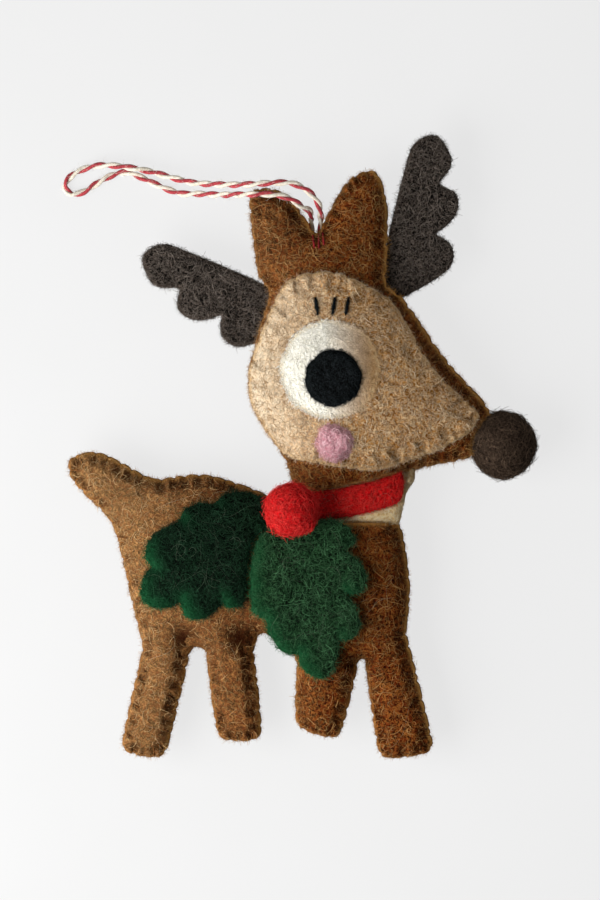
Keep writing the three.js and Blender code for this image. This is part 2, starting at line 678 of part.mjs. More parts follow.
const leaves = {
  rear_leaf: { corners: rearLeafCorners, bearing: new THREE.Vector2(-0.861, -0.509) },
  front_leaf: { corners: frontLeafCorners, bearing: new THREE.Vector2(0.186, -0.983) },
};
let berrySeat = 0;
Object.entries(leaves).forEach(([name, { corners, bearing }]) => {
  const outline = outlineOf(corners);
  const seat = leafSeat(outline, bearing);
  const stem = new THREE.Vector2(BERRY_X, BERRY_Y).addScaledVector(bearing, LEAF_REACH);
  addPiece(name, feltSolid(outline, seat, raised(seat, LEAF_FELT), GRID * 1.2), COLOURS.green);
  berrySeat = Math.max(berrySeat, seat(stem.x, stem.y) + LEAF_FELT + LAYER_GAP);
  console.log(`${name} turns at`, stem.x, stem.y, seat(stem.x, stem.y));
});

// Berry: a ball drawn flat underneath where its thread pulls it down on the stems
const berryProfile = [new THREE.Vector2(0, 0)];
const berryMiddle = Math.sqrt(BERRY_RADIUS ** 2 - BERRY_FOOT ** 2);
const footAngle = Math.asin(BERRY_FOOT / BERRY_RADIUS);
const BERRY_RINGS = 10;
for (let i = 0; i <= BERRY_RINGS; i += 1) {
  const angle = footAngle + ((Math.PI - footAngle) * i) / BERRY_RINGS;
  const radius = i === BERRY_RINGS ? 0 : BERRY_RADIUS * Math.sin(angle);
  berryProfile.push(new THREE.Vector2(radius, berryMiddle - BERRY_RADIUS * Math.cos(angle)));
}
const berry = new THREE.LatheGeometry(berryProfile, 20).rotateX(Math.PI / 2);
addPiece("holly_berry", berry.translate(BERRY_X, BERRY_Y, berrySeat), COLOURS.red);

// Twine loop: out of the notch, over the tip of the far ear, down to the table and back again

// Each point is measured from the notch; its last number is 0 on the table and 1 over the ear.
const loopPlan = [
  [0.9, 5.2, 0.7],
  [0, 7.4, 0.86],
  [-2, 9.3, 0.97],
  [-5, 10.6, 1],
  [-9, 10.6, 1],
  [-13, 10.4, 0.9],
  [-17, 10.4, 0.72],
  [-20.8, 10.6, 0.52],
  [-24.6, 11, 0.33],
  [-28.6, 12, 0.19],
  [-32.6, 13.2, 0.15],
  [-36.6, 14, 0.18],
  [-40.2, 14.5, 0.15],
  [-43.6, 14.6, 0.07],
  [-47, 13.8, 0.01],
  [-49.5, 12.3, 0],
  [-50.5, 10.3, 0],
  [-49.2, 8.9, 0],
  [-46.8, 9.3, 0],
  [-44.4, 10.8, 0],
  [-41.6, 12.4, 0],
  [-38.2, 13.3, 0],
  [-34.6, 12, 0],
  [-31, 10.3, 0.01],
  [-27.2, 9, 0.08],
  [-23.2, 8.8, 0.24],
  [-19, 8.5, 0.48],
  [-15.2, 8.4, 0.76],
  [-11.8, 8.4, 0.96],
  [-8.6, 8.3, 1],
  [-5.4, 7.6, 0.98],
  [-2.8, 6, 0.84],
  [-1.2, 5.1, 0.7],
];
const tableTwine = TWINE / 2 + 0.1;
const overEar = Math.max(...loopPlan.map(([dx, dy]) => {
  const point = [NOTCH_X + dx, NOTCH_Y + dy];
  return isInside(headOutline, ...point) ? frontOuter(...point) : seamHeight + FELT;
})) + LAYER_GAP + TWINE / 2;
const loopEnd = (side) => [NOTCH_X + (side * STRAND_APART) / 2, NOTCH_Y + TWINE_EXIT + LAYER_GAP, seamHeight];
const loopRoute = [
  loopEnd(1),
  ...loopPlan.map(([dx, dy, rise]) => [
    NOTCH_X + dx,
    NOTCH_Y + dy,
    THREE.MathUtils.lerp(tableTwine, overEar, rise),
  ]),
  loopEnd(-1),
].map((point) => new THREE.Vector3(...point));
const LOOP_STEPS = 80;
const TWINE_SIDES = 8;
const twineSection = new THREE.Shape(circleOf(0, 0, TWINE / 2, TWINE_SIDES));
const loopCurve = new THREE.CatmullRomCurve3(loopRoute, false, "centripetal");
const loop = new THREE.ExtrudeGeometry(twineSection, { steps: LOOP_STEPS, extrudePath: loopCurve });
addPiece("hanging_loop", loop, COLOURS.twine);

function leastSelfGap(curve, diameter) {
  const SAMPLES = 400;
  const points = curve.getSpacedPoints(SAMPLES);
  const apart = Math.ceil((4 * diameter * SAMPLES) / curve.getLength());
  let least = Infinity;
  points.forEach((a, i) => points.slice(i + apart).forEach((b) => {
    least = Math.min(least, a.distanceTo(b));
  }));
  return least - diameter;
}
console.log("twine length", loopCurve.getLength(), "least gap to itself", leastSelfGap(loopCurve, TWINE));

// The origin is the middle of the table under the felt, without the twine
const felt = new THREE.Box3();
ornament.children.filter((mesh) => mesh.name !== "hanging_loop").forEach((mesh) => felt.expandByObject(mesh));
const middle = felt.getCenter(new THREE.Vector3());
ornament.children.forEach((mesh) => mesh.geometry.translate(-middle.x, -middle.y, -felt.min.z));
console.log("size", felt.getSize(new THREE.Vector3()), "neck at", -middle.x, -middle.y, "seam", seamHeight);

export default ornament;
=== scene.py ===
# %% [markdown]
# # A felt reindeer on a twine loop
# A hand-sewn ornament: two cut panels of wool felt are stitched edge to edge round loose stuffing, once for
# the body and once for the head, and everything else is felt sewn on top. The imported frame already holds each
# piece at its true size and place, so this lesson only has to give the pieces their soft edges, their stitches
# and their wool. We start by loading the frame.

import json

import bpy
import numpy as np
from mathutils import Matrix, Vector
from mathutils.geometry import delaunay_2d_cdt

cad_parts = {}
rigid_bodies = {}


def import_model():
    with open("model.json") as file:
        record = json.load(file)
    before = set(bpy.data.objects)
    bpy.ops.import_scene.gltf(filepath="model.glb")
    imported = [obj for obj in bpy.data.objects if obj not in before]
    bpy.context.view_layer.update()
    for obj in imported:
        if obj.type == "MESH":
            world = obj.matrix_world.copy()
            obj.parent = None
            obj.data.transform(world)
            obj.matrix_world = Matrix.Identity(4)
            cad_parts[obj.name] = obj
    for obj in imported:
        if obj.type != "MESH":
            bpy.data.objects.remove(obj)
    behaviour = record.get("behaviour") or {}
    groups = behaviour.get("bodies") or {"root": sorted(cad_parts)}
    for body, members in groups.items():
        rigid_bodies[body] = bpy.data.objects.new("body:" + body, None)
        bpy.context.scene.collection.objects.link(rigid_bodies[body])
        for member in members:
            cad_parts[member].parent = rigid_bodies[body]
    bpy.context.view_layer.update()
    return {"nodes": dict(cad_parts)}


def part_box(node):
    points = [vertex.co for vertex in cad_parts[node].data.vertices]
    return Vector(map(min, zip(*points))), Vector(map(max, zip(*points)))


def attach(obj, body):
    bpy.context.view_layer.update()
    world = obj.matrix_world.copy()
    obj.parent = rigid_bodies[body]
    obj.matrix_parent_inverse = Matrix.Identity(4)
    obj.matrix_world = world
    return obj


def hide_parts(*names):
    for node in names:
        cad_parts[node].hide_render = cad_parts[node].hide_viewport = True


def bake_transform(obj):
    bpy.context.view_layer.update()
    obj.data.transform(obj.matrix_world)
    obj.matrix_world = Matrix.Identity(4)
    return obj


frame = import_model()
MM = 0.001

# %% [markdown]
# ## Reading a cut of felt from the frame
# A panel in the frame is a slab of felt: triangles that face up, triangles that face down and a rim. Seen from
# above, the rim is the line of edges that only one upward triangle owns, and that line is the cut we need. It
# could be traced again as a curve, but read from the frame it stays true when a size of the part changes. It is
# walked once round, spaced evenly and smoothed over half a millimetre, because scissors leave no facets.


# %% Triangles of a node
def triangles_of(node):
    """Corners of a node's triangles, as an (n, 3, 3) array in metres."""
    mesh = frame["nodes"][node].data
    mesh.calc_loop_triangles()
    corners = np.empty(3 * len(mesh.loop_triangles), np.int32)
    mesh.loop_triangles.foreach_get("vertices", corners)
    places = np.empty(3 * len(mesh.vertices), np.float32)
    mesh.vertices.foreach_get("co", places)
    return places.reshape(-1, 3)[corners].reshape(-1, 3, 3).astype(float)


def facing(triangles, up):
    """The triangles that face up, or down: the z of the normal is over a fifth of its length."""
    normals = np.cross(triangles[:, 1] - triangles[:, 0], triangles[:, 2] - triangles[:, 0])
    share = normals[:, 2] / np.maximum(np.linalg.norm(normals, axis=1), 1e-15)
    return triangles[share > 0.2] if up else triangles[share < -0.2]


body_top = facing(triangles_of("body_front_panel"), True)
print("triangles on the front of the body:", len(body_top))


# %% The cut line
def cut_line(triangles):
    """Plan outline of a sheet of triangles, anticlockwise: the edges with one owner, in the longest chain."""
    keys = np.round(triangles[:, :, :2].reshape(-1, 2) / 1e-7).astype(np.int64)
    points, index = np.unique(keys, axis=0, return_inverse=True)
    faces = index.reshape(-1, 3)
    edges = np.concatenate([faces[:, [0, 1]], faces[:, [1, 2]], faces[:, [2, 0]]])
    owned = edges[:, 0] * len(points) + edges[:, 1]
    shared = edges[:, 1] * len(points) + edges[:, 0]
    onward = dict(edges[~np.isin(owned, shared)].tolist())
    loops = []
    while onward:
        start, step = onward.popitem()
        loop = [start]
        while step in onward:
            loop.append(step)
            step = onward.pop(step)
        loops.append(loop)
    loop = points[max(loops, key=len)] * 1e-7
    x, y = loop.T
    turn = np.sum(x * np.roll(y, -1) - y * np.roll(x, -1))
    return loop if turn > 0 else loop[::-1]


def evenly(loop, pitch, blur):
    """A closed line at an even pitch, its corners rounded by a bell curve of width blur along the line."""
    closed = np.vstack([loop, loop[:1]])
    along = np.concatenate([[0], np.cumsum(np.linalg.norm(np.diff(closed, axis=0), axis=1))])
    count = max(16, int(round(along[-1] / pitch)))
    stations = np.arange(count) * along[-1] / count
    line = np.column_stack([np.interp(stations, along, axis) for axis in closed.T])
    waves = np.fft.rfftfreq(count, along[-1] / count)
    soften = np.exp(-0.5 * (2 * np.pi * waves * blur) ** 2)[:, None]
    return np.fft.irfft(np.fft.rfft(line, axis=0) * soften, count, axis=0)


print("points on the cut of the body, 1 mm apart:", len(evenly(cut_line(body_top), MM, 0.45 * MM)))


# %% Heights and distances
def in_parts(function, points, size=1200):
    """Runs an array function on a long list of points in parts, so that its tables stay small."""
    return np.concatenate([function(points[i:i + size]) for i in range(0, len(points), size)])


def height_on(triangles, points):
    """Height of a sheet over plan points: the triangle that holds a point best, read at the point's three shares."""
    a, b, c = triangles[:, 0], triangles[:, 1], triangles[:, 2]
    ab, ac = (b - a)[:, :2], (c - a)[:, :2]
    area = ab[:, 0] * ac[:, 1] - ab[:, 1] * ac[:, 0]
    area = np.where(np.abs(area) < 1e-14, 1e-14, area)

    def read(part):
        dx, dy = part[:, :1] - a[:, 0], part[:, 1:2] - a[:, 1]
        to_b = (dx * ac[:, 1] - dy * ac[:, 0]) / area
        to_c = (dy * ab[:, 0] - dx * ab[:, 1]) / area
        shares = np.stack([1 - to_b - to_c, to_b, to_c])
        best = np.argmax(shares.min(0), axis=1)
        held = np.clip(shares[:, np.arange(len(part)), best], 0, None)
        held /= held.sum(0)
        return held[0] * a[best, 2] + held[1] * b[best, 2] + held[2] * c[best, 2]

    return in_parts(read, points)


def edge_place(points, line):
    """For each plan point, its distance from a closed line and the number of the line's nearest point."""

    def nearest(part):
        gaps = ((part[:, None, :] - line[None]) ** 2).sum(2)
        number = gaps.argmin(1)
        return np.column_stack([np.sqrt(gaps[np.arange(len(part)), number]), number])

    found = in_parts(nearest, points)
    return found[:, 0], found[:, 1].astype(int)


# %% Inside and inwards
def inside(points, line):
    """True where a plan point lies inside a closed line: a ray to the right crosses it an odd number of times."""
    a, b = line, np.roll(line, -1, 0)
    rise = np.where(np.abs(b[:, 1] - a[:, 1]) < 1e-12, 1e-12, b[:, 1] - a[:, 1])

    def odd(part):
        x, y = part[:, :1], part[:, 1:]
        spans = (a[:, 1] > y) != (b[:, 1] > y)
        right = x < (b[:, 0] - a[:, 0]) * (y - a[:, 1]) / rise + a[:, 0]
        return (spans & right).sum(1) % 2 == 1

    return in_parts(odd, points)


def inward_of(line):
    """Unit normals of an anticlockwise line, pointing in."""
    along = np.roll(line, -2, 0) - np.roll(line, 2, 0)
    along /= np.linalg.norm(along, axis=1, keepdims=True)
    return np.column_stack([-along[:, 1], along[:, 0]])


def cover_line(node, grow=0.0):
    """The plan outline of a node, drawn out by a margin."""
    line = evenly(cut_line(facing(triangles_of(node), True)), 0.5 * MM, 0.1 * MM)
    return line - inward_of(line) * grow


print("the front leaf covers", inside(body_top.mean(1)[:, :2], cover_line("front_leaf")).sum(), "of those triangles")

# %% [markdown]
# ## A cut of felt as a mesh
# A sheet of felt could be a filled curve with Solidify and Subdivision Surface modifiers. Here its points are worked
# out instead, so that the cut stays where the scissors left it and every stitch can dent the felt beside it. The plan
# is filled with points - the cut, two rings just inside it, a fine triangular lattice along the edge, where the
# stitches are, and a coarser one within - and one triangulation serves both faces, which share the points of the cut.


# %% Noise and lattice
def value_noise(points, size, seed):
    """Smooth random values from -1 to 1 on plan points: random numbers on a grid, eased between its corners."""
    table = np.random.default_rng(seed).uniform(-1, 1, (64, 64))
    cell = points / size + 32.5
    low = np.floor(cell).astype(int)
    share = cell - low
    share = share * share * (3 - 2 * share)
    i, j = low.T % 64
    i2, j2 = (i + 1) % 64, (j + 1) % 64
    left = table[i, j] * (1 - share[:, 1]) + table[i, j2] * share[:, 1]
    right = table[i2, j] * (1 - share[:, 1]) + table[i2, j2] * share[:, 1]
    return left * (1 - share[:, 0]) + right * share[:, 0]


def lattice(low, high, pitch):
    """A triangular lattice over a box: rows half a pitch out of step."""
    row = pitch * np.sqrt(0.75)
    x, y = np.meshgrid(np.arange(low[0], high[0], pitch), np.arange(low[1], high[1], row))
    x = x + np.where(np.arange(len(x)) % 2 == 1, pitch / 2, 0)[:, None]
    return np.column_stack([x.ravel(), y.ravel()])


print("points of a 1 mm lattice on a square centimetre:", len(lattice((0, 0), (10 * MM, 10 * MM), MM)))

# %% Filling a plan
RINGS = (0.22 * MM, 0.55 * MM)  # depths of the two rings inside a cut


def fill_plan(line, pitch, edge_pitch, band):
    """Points and triangles that fill a closed line: the line, its rings and a lattice, finer along the edge."""
    box = line.min(0), line.max(0)
    groups = [(line + inward_of(line) * depth, depth * 0.92, np.inf) for depth in RINGS]
    first = RINGS[-1] + 0.45 * edge_pitch
    groups += [(lattice(*box, edge_pitch), first, band), (lattice(*box, pitch), max(band, first), np.inf)]
    candidates = np.vstack([points for points, _, _ in groups])
    least, most = np.repeat([[a, b] for _, a, b in groups], [len(points) for points, _, _ in groups], axis=0).T
    distance, _ = edge_place(candidates, line)
    kept = candidates[(distance > least) & (distance <= most) & inside(candidates, line)]
    points = np.vstack([line, kept]) / MM
    loop = list(range(len(line)))
    filled = delaunay_2d_cdt([Vector(p) for p in points.tolist()], [], [loop], 1, 1e-6)
    return np.array([v[:] for v in filled[0]]) * MM, np.array(filled[2])


def relaxed(values, faces, rounds, fixed):
    """Each free value moves half way to the mean of its neighbours, a number of times."""
    edges = np.concatenate([faces[:, [0, 1]], faces[:, [1, 2]], faces[:, [2, 0]]])
    edges = np.unique(np.sort(edges, axis=1), axis=0)
    a, b = np.concatenate([edges, edges[:, ::-1]]).T
    ties = np.maximum(np.bincount(a, minlength=len(values)), 1)
    free = ~fixed
    values = values.copy()
    for _ in range(rounds):
        mean = np.bincount(a, values[b], len(values)) / ties
        values[free] += 0.5 * (mean - values)[free]
    return values


leaf_triangles = fill_plan(cover_line("front_leaf"), 2 * MM, MM, 0.0)[1]
print("triangles in a coarse filling of the front leaf:", len(leaf_triangles))


# %% Meshes from arrays
def new_piece(name, points, faces, material):
    """A mesh object at the origin from whole arrays of points and triangles (or quads)."""
    mesh = bpy.data.meshes.new(name)
    count = faces.shape[1]
    mesh.vertices.add(len(points))
    mesh.vertices.foreach_set("co", np.ascontiguousarray(points, np.float32).ravel())
    mesh.loops.add(faces.size)
    mesh.loops.foreach_set("vertex_index", np.ascontiguousarray(faces, np.int32).ravel())
    mesh.polygons.add(len(faces))
    mesh.polygons.foreach_set("loop_start", np.arange(0, faces.size, count, dtype=np.int32))
    mesh.polygons.foreach_set("use_smooth", np.ones(len(faces), bool))
    mesh.update(calc_edges=True)
    mesh.validate()
    mesh.materials.append(material)
    piece = bpy.data.objects.new(name, mesh)
    bpy.context.scene.collection.objects.link(piece)
    return piece


def crease_rim(piece, rims):
    """Marks the edges of a cut as sharp, so that each face keeps its own light up to the cut."""
    mesh = piece.data
    ends = np.empty(2 * len(mesh.edges), np.int32)
    mesh.edges.foreach_get("vertices", ends)
    a, b = np.sort(ends.reshape(-1, 2), axis=1).T
    sharp = (b < rims) & ((b - a == 1) | (b - a == rims - 1))
    mesh.attributes.new("sharp_edge", "BOOLEAN", "EDGE").data.foreach_set("value", sharp)


def set_values(piece, name, values):
    """Stores one number for each point of a piece, for its material to read."""
    attribute = piece.data.attributes.new(name, "FLOAT", "POINT")
    attribute.data.foreach_set("value", np.ascontiguousarray(values, np.float32))


# %% [markdown]
# ## How felt lies
# Felt lies in five ways here, and only the heights of the mesh differ. A free sheet, such as a leaf, rounds over at
# its cut, where both faces meet in the middle of its thickness. A sewn panel is drawn down to the seam by its
# stitches. A laid piece, such as the face, follows the felt below it, and a felted one, such as the eye, also thins
# out to nothing at its edge. A pad has a crowned face on both sides. A cloth simulation could find these shapes too,
# but the frame already holds the stuffed form, so the heights are read from it, relaxed and rounded at the edges.


# %% Rises and blurs
def quarter(share):
    """A quarter circle's rise: sqrt(1 - (1 - share)^2), from 0 at a cut to 1 where the rounding ends."""
    return np.sqrt(1 - (1 - np.clip(share, 0, 1)) ** 2)


def ease(value, low, high):
    """The smooth step 3s^2 - 2s^3 from 0 at low to 1 at high."""
    share = np.clip((value - low) / max(high - low, 1e-9), 0, 1)
    return share * share * (3 - 2 * share)


def along_blur(values, step, width):
    """Values on a closed line, blurred along it by a bell curve."""
    waves = np.fft.rfftfreq(len(values), step)
    return np.fft.irfft(np.fft.rfft(values) * np.exp(-0.5 * (2 * np.pi * waves * width) ** 2), len(values))


# %% A cut and its stitches
EDGE_PITCH = 0.42 * MM  # points along a cut, and in the band of its stitches
STITCH_WIDTH = 0.42 * MM  # how far a stitch pulls along the cut


class Felt:
    """A cut of felt read from a frame node: its cut line, its stitches and, once built, its outer face."""

    def __init__(self, node, pitch, up=True, blur=0.45 * MM, grow=0.0, shift=(0, 0), trim=None, ragged=0.0, seed=1):
        triangles = triangles_of(node)
        self.up, self.pitch, self.seed = up, pitch, seed
        self.outer, self.inner = facing(triangles, up), facing(triangles, not up)
        line = evenly(cut_line(self.outer), min(pitch, EDGE_PITCH), blur) + np.array(shift)
        if trim:
            line = evenly(trim(line), min(pitch, EDGE_PITCH), blur)
        uneven = value_noise(line, 1.5 * MM, seed) + 0.7 * value_noise(line, 0.7 * MM, seed + 1)
        self.line = line - inward_of(line) * (grow + ragged * uneven[:, None])
        self.step = np.linalg.norm(self.line[1] - self.line[0])
        self.stitches, self.strength = np.zeros(0, int), np.zeros(0)
        self.dent = self.pinch = self.reach = 0.0

    def sew(self, pitch, skip=(), dent=0.95 * MM, pinch=0.42 * MM, reach=2.8 * MM, like=None):
        """Marks stitches at a nearly even pitch, except where a node fills an opening, or like another cut."""
        self.dent, self.pinch, self.reach = dent, pinch, reach
        if like:
            self.stitches, self.strength = edge_place(like.line[like.stitches], self.line)[1], like.strength
            return self
        count = int(round(len(self.line) * self.step / pitch))
        random = np.random.default_rng(self.seed)
        jitter = random.uniform(-0.3, 0.3, count)
        numbers = np.round((np.arange(count) + jitter) * len(self.line) / count).astype(int) % len(self.line)
        for node in skip:
            numbers = numbers[~inside(self.line[numbers], cover_line(node))]
        self.stitches, self.strength = numbers, random.uniform(0.4, 1.0, len(numbers))
        return self

    def pull(self, number):
        """How hard the nearest stitch pulls at points of the cut: its strength times a bell of the distance."""
        if not len(self.stitches):
            return np.zeros(len(number))
        gap = np.abs(number[:, None] - self.stitches[None])
        gap = np.minimum(gap, len(self.line) - gap)
        nearest = gap.argmin(1)
        away = gap[np.arange(len(gap)), nearest] * self.step
        return self.strength[nearest] * np.exp(-((away / STITCH_WIDTH) ** 2))

    def measured_thickness(self):
        """The felt's thickness in the frame: the median distance between its two faces."""
        plan = self.outer.mean(1)[:, :2]
        return np.median(np.abs(height_on(self.outer, plan) - height_on(self.inner, plan)))


for node in ("body_front_panel", "face_patch", "antler_left", "front_leaf"):
    print(f"{node}: felt of {Felt(node, MM).measured_thickness() / MM:.1f} mm")

# %% Heights of a felt
LAY = 0.06 * MM  # a laid piece above the felt below it
SEAM_LIFT = 0.08 * MM  # a sewn edge above the middle of the seam


def near_height(cut, plan):
    """Height of a built felt's outer face beside plan points: that of its nearest point."""
    return in_parts(lambda part: cut.face[((part[:, None] - cut.plan[None]) ** 2).sum(2).argmin(1), 2], plan, 150)


def heights_of(cut, plan, faces, number, lie, bed, seam, opened):
    """Heights of the outer face, the inner face and the edge that both draw in to, by the way the felt lies."""
    side = 1 if cut.up else -1
    thick = cut.measured_thickness()
    rim = np.arange(len(plan)) < len(cut.line)
    if lie in ("laid", "felted"):
        low = relaxed(near_height(bed, plan), faces, 8, np.zeros(len(plan), bool)) + LAY
        return low + thick, low, low + 0.1 * thick
    outer = height_on(cut.outer, plan)
    outer[rim] = along_blur(outer[rim], cut.step, 2.5 * MM)
    outer = relaxed(outer, faces, 24, rim)
    inner = outer - side * thick
    if lie == "pad":
        inner = relaxed(height_on(cut.inner, plan), faces, 24, rim)
    edge = (outer + inner) / 2
    if lie == "sewn":
        shut = seam + side * SEAM_LIFT
        edge = shut + (edge - shut) * opened[number]
        inner = side * np.maximum(side * inner, side * seam + 0.05 * MM)
    return outer, inner, edge


# %% Dents and openings
def dents_of(cut, plan, distance, number, hollows):
    """Slots of the stitches, hollows, and how deep both sink the felt: bell curves round each of them."""
    slots = cut.pull(number) * ease(distance, 0.1 * MM, 0.6 * MM) * (1 - ease(distance, 0.5 * cut.reach, cut.reach))
    sunk, hollow = cut.dent * slots, np.zeros(len(plan))
    for x, y, width, depth in np.array(hollows) * MM:
        bowl = np.exp(-((plan - [x, y]) ** 2).sum(1) / width ** 2)
        sunk, hollow = sunk + depth * bowl, np.maximum(hollow, bowl)
    # the first value also marks where the felt is painted darker: painted shade in the stitch dents, stronger in the
    # hollows
    return np.maximum(slots, 1.6 * hollow), hollow, sunk


def opened_at(cut, line, nodes):
    """1 along the stretches of a cut that other nodes hold open and 0 elsewhere, blurred along the cut."""
    opened = np.zeros(len(line))
    for node in nodes:
        opened = np.maximum(opened, inside(line, cover_line(node, 0.5 * MM)))
    return along_blur(opened, cut.step, 0.8 * MM)


# %% Building a felt
def build_felt(cut, name, material, lie="free", roll=0.9 * MM, lumps=0.1 * MM, bed=None, seam=0.0, opening=(),
               rim_light_width=0.5 * MM, way=(0.8, 0.6), swell=None, hollows=()):
    """Makes the mesh. Outer face = edge + (height - edge) * quarter(d / roll), with lumps, less the stitches' dents.

    A felted piece rises by the smooth step 3s^2 - 2s^3 instead of the quarter circle. The rim that faces a given way,
    toward a lamp, is marked for a painted rim highlight, as far in from the cut as the given width, and the dents of
    stitches and hollows are marked for painted shade.
    """
    line = cut.line + inward_of(cut.line) * (cut.pinch * cut.pull(np.arange(len(cut.line))))[:, None]
    plan, faces = fill_plan(line, cut.pitch, min(cut.pitch, EDGE_PITCH), cut.reach)
    rims, count = len(line), len(plan)
    distance, number = edge_place(plan, line)
    distance[:rims], number[:rims] = 0, np.arange(rims)
    outer, inner, edge = heights_of(cut, plan, faces, number, lie, bed, seam, opened_at(cut, line, opening))
    if swell:
        outer = outer + swell(plan)
    side = 1 if cut.up else -1
    rise = ease(distance, 0, roll) if lie == "felted" else quarter(distance / roll)
    uneven = value_noise(plan, 1.9 * MM, cut.seed) + 0.6 * value_noise(plan, 0.9 * MM, cut.seed + 1)
    slots, hollow, sunk = dents_of(cut, plan, distance, number, hollows)
    top = edge + (outer - edge) * rise + side * (lumps * uneven * rise - sunk)
    under = edge + (inner - edge) * quarter(distance / (cut.measured_thickness() / 2))
    if not cut.up:
        top = np.maximum(top, 0)
    points = np.vstack([np.column_stack([plan, top]), np.column_stack([plan, under])[rims:]])
    behind = np.where(faces < rims, faces, faces + count - rims)
    shells = [faces, behind[:, ::-1]] if cut.up else [faces[:, ::-1], behind]
    piece = new_piece(name, points, np.vstack(shells), material)
    if lie in ("sewn", "laid", "felted"):
        crease_rim(piece, rims)
    from_cut = distance if cut.up else np.hypot(distance, top - edge)
    # painted rim highlight: the rim that faces the given way, toward a lamp, fading in from the cut
    lit = np.clip(-inward_of(line) @ np.array(way), 0, 1)[number] * np.exp(-((from_cut / rim_light_width) ** 2))
    set_values(piece, "edge", np.concatenate([from_cut, from_cut[rims:]]) / MM)
    # the painted rim highlight, stored for the material
    set_values(piece, "gold", np.concatenate([lit, lit[rims:]]))
    # where the felt is painted darker in its dents: painted shade
    set_values(piece, "stitch", np.concatenate([slots, 0 * slots[rims:]]))
    cut.piece, cut.plan, cut.cut, cut.distance, cut.number = piece, plan, line, distance, number
    cut.face, cut.faces, cut.lit, cut.hollow = np.column_stack([plan, top]), shells[0], lit, hollow
    print(f"{name}: {len(points)} points, {len(piece.data.polygons)} faces")
    return piece


# %% [markdown]
# ## Felt as a finish
# Wool felt is a mat of curled fibres, so its colour is never flat: paler fibres wander over darker hollows, and the
# dye is blotchy over a few millimetres. A picture of felt would repeat on the large pieces and blur on the small
# ones, so the fibres are ridged noise: a noise that is folded at its middle value has thin bright creases that wander
# as a fibre does. Two such layers, warped, give the mat, a slow noise gives the blotches, and the same creases feed
# the bump. Light and shade are painted in as well: along x the wool turns paler toward the lamp at the left, the
# eye's cream turns tan to the right, partly tan wool and partly painted shade, a rim that faces a lamp takes a
# painted highlight, a cut edge may take another shade, and the felt is painted darker where it is sunk in.


# %% Building node trees
def srgb(code):
    """A colour written as #rrggbb, as linear light for Blender."""
    value = np.array([int(code[i:i + 2], 16) for i in (1, 3, 5)]) / 255
    light = np.where(value <= 0.04045, value / 12.92, ((value + 0.055) / 1.055) ** 2.4)
    return (*light.tolist(), 1.0)


class Graph:
    """Short words for building a material's node tree."""

    def __init__(self, name):
        self.material = bpy.data.materials.new(name)
        self.material.use_nodes = True
        self.tree = self.material.node_tree
        self.tree.nodes.clear()
        self.shader = self.add("ShaderNodeBsdfPrincipled")
        output = self.add("ShaderNodeOutputMaterial")
        self.tree.links.new(self.shader.outputs["BSDF"], output.inputs["Surface"])
        self.place = self.add("ShaderNodeTexCoord").outputs["Object"]

    def add(self, kind, inputs=None, **settings):
        node = self.tree.nodes.new(kind)
        for key, value in settings.items():
            setattr(node, key, value)
        for key, value in (inputs or {}).items():
            self.feed(node.inputs[key], value)
        return node

    def feed(self, socket, value):
        if isinstance(value, bpy.types.NodeSocket):
            self.tree.links.new(value, socket)
        else:
            socket.default_value = value

    def surface(self, **values):
        for key, value in values.items():
            self.feed(self.shader.inputs[key.replace("_", " ")], value)

    def value(self, name):
        return self.add("ShaderNodeAttribute", attribute_name=name).outputs["Fac"]

    def math(self, operation, a, b=0.0):
        return self.add("ShaderNodeMath", {0: a, 1: b}, operation=operation).outputs[0]

    def noise(self, place, scale, detail=2.0, distortion=0.0):
        values = {"Vector": place, "Scale": scale, "Detail": detail, "Distortion": distortion}
        return self.add("ShaderNodeTexNoise", values).outputs["Fac"]

    def blend(self, share, a, b):
        node = self.add("ShaderNodeMix", data_type="RGBA")
        for slot, value in ((0, share), (6, a), (7, b)):
            self.feed(node.inputs[slot], value)
        return node.outputs[2]

    def ramp(self, share, *stops):
        node = self.add("ShaderNodeValToRGB", {"Fac": share})
        elements = node.color_ramp.elements
        for i, (position, colour) in enumerate(stops):
            element = elements[i] if i < 2 else elements.new(position)
            element.position, element.color = position, colour
        return node.outputs["Color"]

    def bump(self, height, strength, distance):
        values = {"Strength": strength, "Distance": distance, "Height": height}
        return self.add("ShaderNodeBump", values).outputs["Normal"]


print("mid grey #808080 as linear light:", round(srgb("#808080")[0], 3))


# %% Fibres and fading
def fade(g, colour, tone, start, end, most):
    """Blends a colour to another along x: from none at a place, in mm, to the most at a second place."""
    x = g.add("ShaderNodeSeparateXYZ", {"Vector": g.place}).outputs["X"]
    share = g.math("DIVIDE", g.math("SUBTRACT", x, start * MM), (end - start) * MM)
    share = g.math("MULTIPLY", g.math("MINIMUM", g.math("MAXIMUM", share, 0.0), 1.0), most)
    return g.blend(share, colour, srgb(tone))


def creases(g, place, scale, width):
    """Thin wandering lines: one minus the noise's distance from its middle value over a width, to the power 1.6."""
    fold = g.math("ABSOLUTE", g.math("SUBTRACT", g.noise(place, scale, 1.5, 0.5), 0.5))
    ridge = g.math("MAXIMUM", g.math("SUBTRACT", 1.0, g.math("DIVIDE", fold, width)), 0.0)
    return g.math("POWER", ridge, 1.6)


def curled(g, scale, reach):
    """Places pushed about by a noise of their own, so that what is drawn on them curls."""
    warp = g.add("ShaderNodeTexNoise", {"Vector": g.place, "Scale": scale, "Detail": 2.0}).outputs["Color"]
    shift = g.add("ShaderNodeVectorMath", {0: warp, 1: (0.5, 0.5, 0.5)}, operation="SUBTRACT").outputs[0]
    curl = g.add("ShaderNodeVectorMath", {0: shift, "Scale": reach}, operation="SCALE").outputs[0]
    return g.add("ShaderNodeVectorMath", {0: g.place, 1: curl}, operation="ADD").outputs[0]


# %% Felt and hair materials
WOOL_SURFACE = {"Specular_IOR_Level": 0.05}  # wool has almost no gloss


